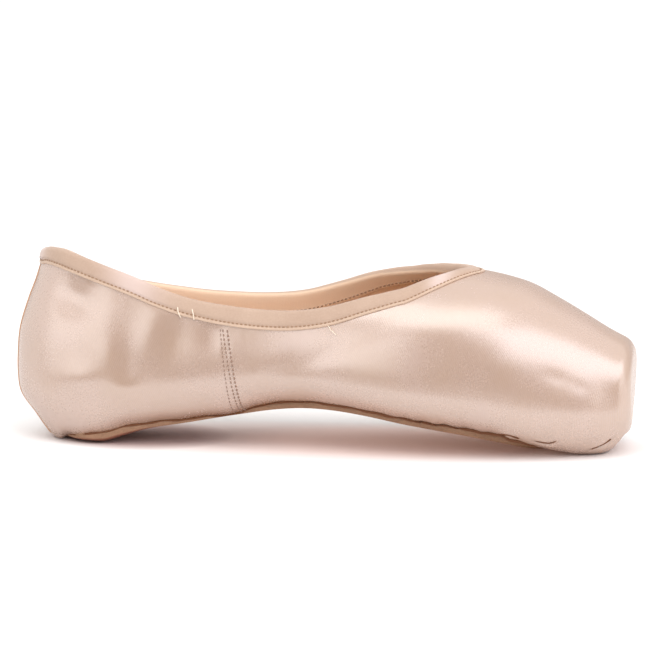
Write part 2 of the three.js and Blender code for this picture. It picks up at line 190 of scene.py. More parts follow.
@dataclass(frozen=True)
class Last:
    """The solid form that the shoe is made on, by station, which is the distance from the heel."""

    platform_station: float = 236.4
    platform_tilt_deg: float = 3.0
    platform_rim: float = 4.6
    platform_height: float = 24.0
    heel_centre: float = 35.0
    toe_centre: float = 150.0
    spine_height: float = 31.0
    heel_fullness: float = 2.3
    heel_shape: Stretch = Stretch(12, 90)
    platform_lean: Stretch = Stretch(196, 226)
    heel_lean: Stretch = Stretch(0, 125)
    lean_per_height: float = 0.13
    lean_pivot: float = 34.0
    throat_length: float = 23.5
    throat_point: float = 1.3
    lasting_margin: float = 3.0
    collar_turn: float = 0.4
    widest_share: float = 0.98
    sole_back: float = 18.9
    sole_front: float = 206.0
    sole_heel_round: float = 13.0
    sole_tip_round: float = 24.0
    sections: Table = Table(
        ("station", "half", "widest", "crown", "above", "below"),
        (
            (0, 25.6, 31, 120, 2.1, 3.2),
            (24, 25.8, 31, 116, 2.1, 2.8),
            (36, 26, 31, 111, 2.05, 2.6),
            (52, 26.2, 31, 102, 1.95, 2.7),
            (69, 26.2, 32, 93, 1.9, 2.8),
            (87, 26.4, 33, 86, 1.85, 2.8),
            (101, 27.2, 33, 80, 1.8, 2.8),
            (112, 28.6, 33, 76, 1.8, 2.8),
            (123, 31, 32, 73.5, 1.8, 2.9),
            (136, 34, 31, 71.4, 1.85, 3),
            (152, 36.2, 29, 69.8, 2, 3),
            (165, 36.8, 28, 68.2, 2.1, 3),
            (177, 36.6, 27, 67, 2.2, 3),
            (189, 35.4, 25, 64.6, 2.3, 3),
            (198, 33.6, 23, 61.8, 2.3, 3),
            (207, 30.8, 22, 56.8, 2.3, 2.9),
            (217, 27, 21, 50.8, 2.3, 2.8),
            (226, 23.2, 21.5, 45.4, 2.4, 2.8),
            (236.4, 19.4, 24, 40.2, 2.6, 2.6),
        ),
    )
    bottom: Table = Table(
        ("at", "base", "sole"),
        (
            (12, 0.2, 2.5),
            (16, 0.3, 2.5),
            (18.5, 1.3, 2.5),
            (20.5, 2.8, 2.5),
            (26, 3, 2.8),
            (35.5, 3.7, 3.5),
            (43, 5.5, 3),
            (52, 7.8, 2.6),
            (69, 10.7, 2.2),
            (87, 13.7, 2.1),
            (101, 15.9, 2.1),
            (112, 16.8, 2.1),
            (123, 16.5, 2.1),
            (136, 15, 2.1),
            (152, 12.4, 2.1),
            (165, 10.6, 2.1),
            (177, 8.8, 2.1),
            (189, 6.4, 2),
            (198, 3.5, 1.6),
            (206, 1, 0.8),
            (211, -0.2, 0.8),
            (216, -1.2, 0.8),
            (224, -1.2, 0.8),
            (227, -0.5, 0.8),
            (230, 1.6, 0.8),
            (233, 4.8, 0.8),
            (238, 6.6, 0.8),
        ),
    )
    heel_back: Table = Table(
        ("height", "back"),
        (
            (0, 16.6),
            (1.3, 14.6),
            (2.4, 13.4),
            (6, 10.4),
            (10.3, 6.9),
            (14, 3.6),
            (18, 1.3),
            (24, 0.3),
            (32, 0.1),
            (42, 0.8),
            (52, 3.6),
            (61, 6.8),
            (70, 9.1),
            (80, 11),
        ),
    )
    collar: Table = Table(
        ("station", "near", "far", "tape"),
        (
            (9, 70.8, 70, 4.6),
            (14, 72.6, 68.2, 5.6),
            (19, 72.8, 65.2, 6.2),
            (26, 71.4, 61.2, 6.3),
            (33, 69.4, 57.8, 6.3),
            (40, 67.1, 55.6, 6.3),
            (49, 64, 54.2, 6.3),
            (59, 60, 53.1, 6.2),
            (69, 56.9, 52.2, 6.2),
            (80, 54.9, 51.8, 6.5),
            (94, 53.4, 51.9, 6.7),
            (108, 53.1, 53.4, 6.7),
            (122, 54.9, 57.4, 6.7),
            (136, 58.7, 62, 6.6),
            (150, 62, 64.6, 6.2),
            (175, 68, 68, 5.8),
        ),
    )
    sole: Table = Table(
        ("station", "half"),
        (
            (18.9, 15),
            (34, 16.2),
            (55, 14.8),
            (80, 12.8),
            (104, 12.4),
            (128, 14.8),
            (150, 18),
            (170, 20),
            (186, 20),
            (206, 17.6),
        ),
    )

    def section_at(self, x: Array, z: Array) -> dict[str, Array]:
        """The section at a place, drawn in where the heel and the platform's rim close the form.

        Args:
            x: station.
            z: height.

        Returns:
            The section's sizes by name, with the station it was read at.
        """
        back = self.heel_back.read(z)["back"] * self.heel_shape.fade(x)
        tilt = math.tan(math.radians(self.platform_tilt_deg))
        front = (z - self.platform_height) * tilt * self.platform_lean.rise(x)
        station = x - back - front
        section = self.sections.read(station)
        reach = np.clip(station - self.platform_station + self.platform_rim, 0, self.platform_rim)
        inset = self.platform_rim - np.sqrt(self.platform_rim**2 - reach**2)
        section["station"] = station
        section["half"] = section["half"] * round_end(station, self.heel_centre, self.heel_fullness)
        section["half"] = section["half"] - inset
        section["crown"] = section["crown"] - inset
        section["base"] = self.bottom.read(x)["base"] + inset
        return section

    def half_width(self, section: dict[str, Array], z: Array) -> Array:
        """Half-width of a section at a height, negative over its crown and under its base.

        Args:
            section: a section's sizes by name.
            z: height.

        Returns:
            The half-width.
        """
        over = z > section["widest"]
        above = section["crown"] - section["widest"]
        below = section["widest"] - section["base"]
        reach = np.where(over, above, below)
        power = np.where(over, section["above"], section["below"])
        share = np.abs(z - section["widest"]) / reach
        inner = np.clip(1 - np.minimum(share, 1) ** power, 0, 1)
        return np.where(share >= 1, -share, section["half"] * inner ** (1 / power))

    def holds(self, x: Array, y: Array, z: Array) -> Array:
        """Whether points of the upright form are inside the last.

        Args:
            x: station.
            y: distance to the side.
            z: height.

        Returns:
            True where a point is inside.
        """
        section = self.section_at(x, z)
        station = section["station"]
        within = (z >= 0) & (station >= 0) & (station <= self.platform_station)
        return within & (np.abs(y) < self.half_width(section, z))

    def sole_half(self, x: Array, margin: float) -> Array:
        """Half-width of the sole's outline, drawn in by a margin and closed by rounds.

        Args:
            x: station.
            margin: how far the outline is drawn in.

        Returns:
            The half-width, 0 past both ends.
        """
        back = self.sole_back + margin
        front = self.sole_front - margin
        heel = round_end(x - back, self.sole_heel_round - margin / 2, 2)
        tip = round_end(front - x, self.sole_tip_round - margin / 2, 2)
        half = (self.sole.read(x)["half"] - margin) * heel * tip
        return np.where((x <= back) | (x >= front), 0, half)

    def leaned(self, x: Array, y: Array, z: Array) -> Array:
        """Points of the upright form at their real place, as the soft heel leans."""
        lean = self.lean_per_height * (z - self.lean_pivot) * self.heel_lean.fade(x)
        return np.stack(np.broadcast_arrays(x, y + lean, z), axis=-1)

    def base_height(self, x: Array, y: Array) -> Array:
        """Height of the last's bottom at a place in plan.

        Args:
            x: station.
            y: distance to the side.

        Returns:
            The height.
        """
        section = self.section_at(x, self.bottom.read(x)["base"])
        share = np.minimum(np.abs(y) / section["half"], self.widest_share)
        drop = (1 - share ** section["below"]) ** (1 / section["below"])
        return section["widest"] - (section["widest"] - section["base"]) * drop


class Spokes:
    """Spokes that leave the spine of the last and fan out round the heel and the toe."""

    def __init__(self, last: Last, per_side: int, turning: float = 26.0) -> None:
        """Points the spokes at the widest outline, closer together where it turns.

        Args:
            last: the form that the spokes are in.
            per_side: how many spokes lie from the heel to the toe on one side.
            turning: the length that one radian of turning counts for.
        """
        self.last = last
        centre = (last.heel_centre + last.toe_centre) / 2
        angle = np.linspace(0, math.pi, OUTLINE_STEPS)
        across, along = -np.sin(angle), -np.cos(angle)
        height = np.full(angle.shape, last.platform_height)
        reach = furthest(
            LONGEST_REACH,
            angle.shape,
            lambda d: last.holds(centre + d * along, d * across, height),
        )
        outline = np.stack([centre + reach * along, reach * across], axis=1)
        targets = spread(outline, per_side, turning)
        targets[0, 1] = targets[-1, 1] = 0.0
        sides = targets[1:-1]
        mirrored = sides[::-1] * np.array([1.0, -1.0])
        targets = np.concatenate([targets, mirrored])
        self.start = np.clip(targets[:, :1], last.heel_centre, last.toe_centre)
        self.direction = unit(targets - np.concatenate([self.start, self.start * 0], axis=1))
        self.far = targets[:, 1:] > 0

    def upright(self, distance: Array, elevation: Array) -> tuple[Array, Array, Array]:
        """Points of the upright form at a distance from the spine and an elevation.

        Args:
            distance: distance from the spine.
            elevation: angle over the level, in radians.

        Returns:
            Station, distance to the side and height.
        """
        out = distance * np.cos(elevation)
        x = self.start + out * self.direction[:, :1]
        y = out * self.direction[:, 1:]
        return x, y, self.last.spine_height + distance * np.sin(elevation)

    def skin(self, elevation: Array) -> tuple[Array, Array, Array]:
        """Where the spokes leave the last, for elevations of shape (spokes, any)."""
        reach = furthest(
            LONGEST_REACH,
            elevation.shape,
            lambda d: self.last.holds(*self.upright(d, elevation)),
        )
        return self.upright(reach, elevation)

    def sole_distance(self, margin: float) -> Array:
        """How far the sole's outline, drawn in by a margin, lies from the spine.

        Args:
            margin: how far the outline is drawn in.

        Returns:
            One distance to a spoke.
        """

        def within(distance: Array) -> Array:
            x = self.start + distance * self.direction[:, :1]
            return np.abs(distance * self.direction[:, 1:]) < self.last.sole_half(x, margin)

        return furthest(LONGEST_REACH, self.start.shape, within)

    def feather(self) -> Array:
        """Elevation of the edge that is turned in under the foot."""
        reach = self.sole_distance(self.last.lasting_margin)
        steepest = math.pi / 2

        def under(rise: Array) -> Array:
            x, y, _ = self.skin(rise - steepest)
            return np.hypot(x - self.start, y) < reach

        return furthest(steepest, self.start.shape, under) - steepest

    def collar(self) -> Array:
        """Elevation of the collar: by height along the sides, by plan round the throat."""
        last = self.last
        centre = np.array(last.toe_centre)
        heights = last.collar.read(centre)
        half = {}
        for name in ("near", "far"):
            section = last.section_at(centre, heights[name])
            half[name] = last.half_width(section, heights[name])
        side = np.where(self.far, half["far"], half["near"])

        def in_throat(drop: Array) -> Array:
            x, y, _ = self.skin(NEARLY_UPRIGHT - drop)
            forward = np.maximum(x - last.toe_centre, 0) / last.throat_length
            across = np.abs(y) / side
            return forward**last.throat_point + across**last.throat_point < 1

        def under_collar(rise: Array) -> Array:
            x, _, z = self.skin(rise)
            collar = last.collar.read(x)
            share = 0.5 + 0.5 * np.clip(self.direction[:, 1:] / last.collar_turn, -1, 1)
            return z < collar["near"] + (collar["far"] - collar["near"]) * share

        shape = self.start.shape
        in_fan = (self.start == last.toe_centre) & (self.direction[:, :1] > 0)
        front = NEARLY_UPRIGHT - furthest(NEARLY_UPRIGHT, shape, in_throat)
        return np.where(in_fan, front, furthest(NEARLY_UPRIGHT, shape, under_collar))

    def paths(self, steps: int) -> Array:
        """Points of the skin from the turned-in edge to the collar, one path to a spoke."""
        share = np.linspace(0, 1, steps + 1)[None, :]
        low, high = self.feather(), self.collar()
        return self.last.leaned(*self.skin(low + (high - low) * share))

    def plan_ring(self, reach: Array, share: float, height: Callable[[Array, Array], Array]) -> Array:
        """A ring at a share of each spoke's reach, at a height that the place decides."""
        x = (self.start + reach * share * self.direction[:, :1])[:, 0]
        y = (reach * share * self.direction[:, 1:])[:, 0]
        return self.last.leaned(x, y, height(x, y))


def spread(path: Array, count: int, turning: float, crowding: float = 0.0) -> Array:
    """Points spread along a path by its length and by how much it turns.

    Args:
        path: points, one to a row.
        count: how many steps to make.
        turning: the length that one radian counts for.
        crowding: how much closer together the points lie at the path's start.

    Returns:
        The count + 1 points.
    """
    step = np.diff(path, axis=0)
    heading = unit(step)
    cosine = np.clip(np.sum(heading[:-1] * heading[1:], axis=1), -1, 1)
    turn = np.append(np.arccos(cosine), 0)
    length = np.linalg.norm(step, axis=1)
    closer = 1 + crowding * np.exp(-np.cumsum(length) / CROWDED_LENGTH)
    weight = np.concatenate([[0], np.cumsum((length + turning * turn) * closer)])
    at = np.linspace(0, weight[-1], count + 1)
    return np.stack([np.interp(at, weight, column) for column in path.T], axis=1)


def ring_normals(rings: Array) -> Array:
    """Outward normals of a sheet given as rings of shape (rows, spokes, 3)."""
    around = np.roll(rings, -1, axis=1) - np.roll(rings, 1, axis=1)
    return unit(np.cross(around, np.gradient(rings, axis=0)))


def along_ring(ring: Array) -> Array:
    """Distance along a closed ring, with one value more than it has points."""
    step = np.linalg.norm(np.roll(ring, -1, axis=0) - ring, axis=1)
    return np.concatenate([[0], np.cumsum(step)])


def along_line(line: Array) -> Array:
    """Distance along an open line at each of its points."""
    return np.concatenate([[0], np.cumsum(np.linalg.norm(np.diff(line, axis=0), axis=1))])


def smoothed(line: Array, times: int) -> Array:
    """A line whose inner points are drawn to their neighbours' middle some times over.

    Args:
        line: points, one to a row.
        times: how often.

    Returns:
        The smoothed line.
    """
    line = line.copy()
    for _ in range(times):
        line[1:-1] = (line[:-2] + 2 * line[1:-1] + line[2:]) / 4
    return line


def lowest_nearby(values: Array, reach: int) -> Array:
    """The least value within some steps of each place of a sheet that is closed round.

    Args:
        values: a value to a point, shape (rows, spokes).
        reach: how many steps.

    Returns:
        The least values.
    """
    low = values
    for _ in range(reach):
        beside = np.minimum(np.roll(low, 1, axis=1), np.roll(low, -1, axis=1))
        low = np.minimum(low, beside)
        above = np.concatenate([low[1:], low[-1:]])
        below = np.concatenate([low[:1], low[:-1]])
        low = np.minimum(low, np.minimum(above, below))
    return low


def distance_to_line(points: Array, line: Sequence[tuple[float, float]]) -> tuple[Array, Array]:
    """Distance of plane points from a chain of straight pieces, and how far along it they are.

    Args:
        points: plane points in the last axis.
        line: corners of the chain.

    Returns:
        The distance, and the share of the chain's length at the nearest place.
    """
    corners = np.array(line, dtype=float)
    pieces = np.diff(corners, axis=0)
    lengths = np.linalg.norm(pieces, axis=1)
    nearest = np.full(points.shape[:-1], np.inf)
    share = np.zeros(points.shape[:-1])
    done = 0.0
    for corner, piece, length in zip(corners, pieces, lengths):
        t = np.clip(((points - corner) @ piece) / length**2, 0, 1)
        away = np.linalg.norm(points - corner - t[..., None] * piece, axis=-1)
        closer = away < nearest
        share = np.where(closer, (done + t * length) / lengths.sum(), share)
        nearest = np.where(closer, away, nearest)
        done += length
    return nearest, share


@dataclass(frozen=True)
class Dent:
    """A soft hollow seen from the side, or a swelling where its depth is negative."""

    x: float
    z: float
    along: float
    across: float
    turn_deg: float
    depth: float
    side: Side = Side.NEAR

    def relief(self, points: Array) -> Array:
        """How far the mark lifts each point of the skin.

        Args:
            points: points of the skin, in the last axis.

        Returns:
            The lift, negative in a hollow.
        """
        turn = math.radians(self.turn_deg)
        dx, dz = points[..., 0] - self.x, points[..., 2] - self.z
        u = (dx * math.cos(turn) + dz * math.sin(turn)) / self.along
        v = (dz * math.cos(turn) - dx * math.sin(turn)) / self.across
        return -self.depth * np.exp(-u * u - v * v) * self.side.share(points)


@dataclass(frozen=True)
class Crease:
    """A sharp fold seen from the side: a trough with a lip over it, dying out at both ends."""

    line: tuple[tuple[float, float], ...]
    width: float
    depth: float
    side: Side = Side.NEAR
    lip_away: float = 2.2
    lip_width: float = 1.3
    lip_height: float = 0.3
    end_share: float = 0.02
    end_power: float = 0.6

    def relief(self, points: Array) -> Array:
        """How far the mark lifts each point of the skin.

        Args:
            points: points of the skin, in the last axis.

        Returns:
            The lift, negative in a hollow.
        """
        away, share = distance_to_line(points[..., [0, 2]], self.line)
        taper = np.sin(np.pi * np.clip(share, self.end_share, 1 - self.end_share)) ** self.end_power
        trough = np.exp(-((away / self.width) ** 2))
        lip = np.exp(-(((away - self.lip_away * self.width) / (self.lip_width * self.width)) ** 2))
        return self.depth * taper * self.side.share(points) * (self.lip_height * lip - trough)


@dataclass(frozen=True)
class Pleats:
    """Pleats that radiate from an end of the sole, where the satin is gathered in."""

    centre: float
    forward: float
    pitch: float
    height: float
    length: float
    seed: int
    unevenness: float = 0.16
    wander: float = 0.25
    lap: float = 0.78
    least_length: float = 0.7
    length_spread: float = 0.5
    spread_step: float = 2.1
    fade_power: float = 1.3
    fade_in: float = 12.0

    def relief(self, points: Array, ring: Array, from_edge: Array) -> Array:
        """How far the pleats lift each point of the skin.

        Args:
            points: skin in the row frame, shape (rows, spokes, 3).
            ring: distance along the turned-in edge, one value to a spoke.
            from_edge: distance up the skin from that edge.

        Returns:
            The relief, shaped as from_edge.
        """
        random = np.random.default_rng(self.seed)
        wander = np.cumsum(random.normal(0, self.unevenness, len(ring))) * self.wander
        phase = (ring / self.pitch + wander)[None, :]
        saw = phase - np.floor(phase)
        fold = np.where(saw < self.lap, saw / self.lap, (1 - saw) / (1 - self.lap))
        swing = np.abs(np.sin(self.spread_step * np.floor(phase) + self.seed))
        reach = self.length * (self.least_length + self.length_spread * swing)
        fade = np.clip(1 - from_edge / reach, 0, 1) ** self.fade_power
        at_end = np.clip((points[0, :, 0] - self.centre) * self.forward / self.fade_in, 0, 1)
        return self.height * (fold - 0.5) * fade * at_end[None, :]


class Value:
    """A number that varies over a surface, so that shader maths reads as plain Python."""

    def __init__(self, nodes: "Nodes", socket: bpy.types.NodeSocket) -> None:
        """Wraps one output socket of a tree."""
        self.nodes = nodes
        self.socket = socket

    def maths(self, operation: str, *others: "Value | float", first: bool = True) -> "Value":
        """Adds a Math node on this value and others."""
        values = [self, *others] if first else [*others, self]
        inputs = dict(enumerate(values))
        return self.nodes.node("ShaderNodeMath", {"operation": operation}, inputs)

    def __add__(self, other: "Value | float") -> "Value":
        """Sum."""
        return self.maths("ADD", other)

    def __sub__(self, other: "Value | float") -> "Value":
        """Difference."""
        return self.maths("SUBTRACT", other)

    def __rsub__(self, other: float) -> "Value":
        """Difference from a plain number."""
        return self.maths("SUBTRACT", other, first=False)

    def __mul__(self, other: "Value | float") -> "Value":
        """Product."""
        return self.maths("MULTIPLY", other)

    __radd__ = __add__
    __rmul__ = __mul__

    def wave(self, pitch: float) -> "Value":
        """A wave from 0 to 1 that repeats with a pitch."""
        return (self * (2 * math.pi / pitch)).maths("SINE") * 0.5 + 0.5

    def between(self, low: float, high: float) -> "Value":
        """Brought from the range low to high onto 0 to 1, and held there."""
        inputs = {"Value": self, "From Min": low, "From Max": high}
        return self.nodes.node("ShaderNodeMapRange", {"clamp": True}, inputs)


class Nodes:
    """A tree of shader nodes."""

    def __init__(self, tree: bpy.types.NodeTree) -> None:
        """Wraps a tree."""
        self.tree = tree

    def node(self, kind: str, settings: dict, inputs: dict, output: str | int = 0) -> Value:
        """Adds a node.

        Args:
            kind: the node's type.
            settings: properties of the node, set first.
            inputs: values or links by socket.
            output: the output to return.

        Returns:
            The output as a value.
        """
        made = self.tree.nodes.new(kind)
        for name, value in settings.items():
            setattr(made, name, value)
        for socket, value in inputs.items():
            self.feed(made.inputs[socket], value)
        return Value(self, made.outputs[output])

    def feed(self, socket: bpy.types.NodeSocket, value: "Value | float | Colour") -> None:
        """Links a value to a socket, or sets the socket's own number or colour.

        Args:
            socket: the socket to feed.
            value: the value, number or colour.
        """
        if isinstance(value, Value):
            self.tree.links.new(value.socket, socket)
        elif isinstance(value, tuple) and socket.type == "RGBA":
            socket.default_value = (*value, 1.0)
        else:
            socket.default_value = value

    def place(self, source: str, *axes: int) -> list[Value]:
        """Parts of a place by axis: 0 is X, 1 is Y and 2 is Z."""
        place = self.node("ShaderNodeTexCoord", {}, {}, source)
        return [self.node("ShaderNodeSeparateXYZ", {}, {0: place}, axis) for axis in axes]


class Shader(Nodes):
    """The node tree of one material."""

    def __init__(self, name: str) -> None:
        """Makes a material with a Principled shader."""
        self.material = bpy.data.materials.new(name)
        self.material.use_nodes = True
        super().__init__(self.material.node_tree)
        self.surface = self.tree.nodes["Principled BSDF"]

    def set(self, **values: "Value | float | Colour") -> None:
        """Feeds the Principled shader's sockets, named with underscores for spaces."""
        for name, value in values.items():
            self.feed(self.surface.inputs[name.replace("_", " ")], value)

    def uv(self) -> list[Value]:
        """The piece's own map, in metres along and across the cloth."""
        return self.place("UV", 0, 1)

    def tint(self) -> Value:
        """The value that the piece's points carry."""
        return self.node("ShaderNodeAttribute", {"attribute_name": "tint"}, {}, "Fac")

    def noise(self, size: float, detail: float = 3.0) -> Value:
        """Cloudy noise whose patches have a size in metres."""
        place = self.node("ShaderNodeTexCoord", {}, {}, "Object")
        inputs = {"Vector": place, "Scale": 1 / size, "Detail": detail}
        return self.node("ShaderNodeTexNoise", {}, inputs, 0)

    def mix(self, share: Value, first: "Value | Colour", second: "Value | Colour") -> Value:
        """A colour between two, by a share."""
        inputs = {0: share, 6: first, 7: second}
        return self.node("ShaderNodeMix", {"data_type": "RGBA"}, inputs, 2)

    def bump(self, height: Value, distance: float, strength: float = 1.0) -> None:
        """Raises the surface by a height from 0 to 1 times a distance in metres."""
        inputs = {"Height": height, "Distance": distance, "Strength": strength}
        self.set(Normal=self.node("ShaderNodeBump", {}, inputs))


@dataclass(frozen=True)
class Satin:
    """Glossy cloth whose long floats give it a broad, soft sheen."""

    name: str = "satin"
    colour: Colour = (0.455, 0.302, 0.212)
    pale: Colour = (0.485, 0.335, 0.27)
    # shaded: painted shade on the satin just above the sole, mixed in by the tint
    shaded: Colour = (0.24, 0.10, 0.04)
    refraction: float = 2.5
    roughness: float = 0.27
    float_pitch: float = 0.00078
    patch: float = 0.022
    slub: float = 0.0009
    rough_patch: float = 0.06
    rough_slub: float = 0.03
    relief: float = 0.00003

    def material(self) -> bpy.types.Material:
        """Builds the material."""
        shader = Shader(self.name)
        along, up = shader.uv()
        cloud = shader.noise(self.patch)
        floats = (along + up * 0.6).wave(self.float_pitch)
        slub = shader.noise(self.slub, 2.0)
        smoothest = self.roughness - (self.rough_patch + self.rough_slub) / 2
        tone = cloud * 0.6 + floats * 0.22 + slub * 0.18
        cloth = shader.mix(tone.between(0.3, 0.7), self.colour, self.pale)
        # The tint mixes painted shade into the colour just above the sole.
        shader.set(
            Base_Color=shader.mix(shader.tint(), cloth, self.shaded),
            Roughness=cloud * self.rough_patch + slub * self.rough_slub + smoothest,
            IOR=self.refraction,
        )
        shader.bump(floats * 0.8 + slub * 0.2, self.relief, 0.5)
        return shader.material


@dataclass(frozen=True)
class WovenCotton:
    """Matte plain-woven cotton, as tape or as lining."""

    name: str
    colour: Colour
    dark: Colour
    thread: float
    # hem_and_lit_inside: the edge strip's own colour, also painted light on the tape's inside
    hem_and_lit_inside: Colour | None = None
    # painted_sheen: a paler colour for patches of painted sheen
    painted_sheen: Colour | None = None
    patch: float = 0.014
    nap: float = 0.0007
    relief: float = 0.00006

    def material(self) -> bpy.types.Material:
        """Builds the material."""
        shader = Shader(self.name)
        along, up = shader.uv()
        weave = along.wave(self.thread) * up.wave(self.thread)
        cloud = shader.noise(self.patch)
        nap = shader.noise(self.nap, 2.0)
        tone = (cloud * 0.6 + nap * 0.4).between(0.3, 0.7)
        cloth = shader.mix(tone, self.dark, self.colour)
        # A negative tint marks patches of painted sheen.
        painted_sheen = (shader.tint() * -1.0).between(0, 1)
        cloth = shader.mix(painted_sheen, cloth, self.painted_sheen or self.colour)
        # On the edge strip this is the cloth's own colour; on the inside it is painted light.
        hem_and_lit_inside = shader.tint().between(0, 1)
        shader.set(
            Base_Color=shader.mix(hem_and_lit_inside, cloth, self.hem_and_lit_inside or self.colour),
            Roughness=nap * 0.1 + 0.8,
            Specular_IOR_Level=0.25,
            Sheen_Weight=0.25,
            Sheen_Roughness=0.5,
        )
        shader.bump(weave * 0.6 + nap, self.relief, 0.7)
        return shader.material


@dataclass(frozen=True)
class SoleLeather:
    """Tan leather with a raw, fibrous face."""

    name: str = "sole_leather"
    colour: Colour = (0.41, 0.245, 0.15)
    dark: Colour = (0.27, 0.15, 0.088)
    # bevel: the bevel's own darker colour, also painted shade of the gap along the top of the edge
    bevel: Colour = (0.28, 0.115, 0.072)
    patch: float = 0.011
    fibre: float = 0.0008
    relief: float = 0.00012

    def material(self) -> bpy.types.Material:
        """Builds the material."""
        shader = Shader(self.name)
        cloud = shader.noise(self.patch)
        fibre = shader.noise(self.fibre, 4.0)
        tone = (cloud * 0.55 + fibre * 0.45).between(0.32, 0.66)
        face = shader.mix(tone, self.dark, self.colour)
        shader.set(
            Base_Color=shader.mix(shader.tint(), face, self.bevel),
            Roughness=fibre * 0.2 + 0.55,
            Specular_IOR_Level=0.35,
        )
        shader.bump(fibre, self.relief, 0.7)
        return shader.material


@dataclass(frozen=True)
class Thread:
    """Twisted sewing thread, also used for dark strands of painted shade."""

    name: str
    colour: Colour
    light: Colour
    sheen: float = 0.2
    gloss: float = 0.5
    twist: float = 0.0006
    relief: float = 0.00005

    def material(self) -> bpy.types.Material:
        """Builds the material."""
        shader = Shader(self.name)
        twist = shader.noise(self.twist, 2.0)
        shader.set(
            Base_Color=shader.mix(twist, self.colour, self.light),
            Roughness=twist * 0.2 + 0.5,
            Sheen_Weight=self.sheen,
            Specular_IOR_Level=self.gloss,
        )
        shader.bump(twist, self.relief, 0.5)
        return shader.material


BINDING_TAPE = WovenCotton(
    name="binding_tape",
    colour=(0.53, 0.385, 0.295),
    dark=(0.455, 0.315, 0.235),
    thread=0.00062,
    # The edge strip's own colour, also used in full on the tape's inside as painted light.
    hem_and_lit_inside=(0.86, 0.655, 0.485),
    # Paler colour for patches of painted sheen on the tape's face.
    painted_sheen=(0.66, 0.52, 0.47),
)
SOCK_COTTON = WovenCotton(
    name="cotton",
    colour=(0.80, 0.55, 0.37),
    dark=(0.72, 0.47, 0.30),
    thread=0.0008,
)
SEAM_THREAD = Thread("seam_thread", (0.20, 0.11, 0.075), (0.33, 0.2, 0.14))
TAPE_THREAD = Thread("tape_thread", (0.26, 0.14, 0.08), (0.40, 0.24, 0.14))
WELT_THREAD = Thread("welt_thread", (0.52, 0.29, 0.17), (0.62, 0.38, 0.24))
PALE_THREAD = Thread("pale_thread", (0.80, 0.66, 0.50), (0.90, 0.80, 0.68))
# Painted shade: a dark, matte strand laid where folds and gaps are in shade.
SHADE_STRAND = Thread("shade_strand", (0.15, 0.062, 0.03), (0.22, 0.10, 0.055), sheen=0.0, gloss=0.05)


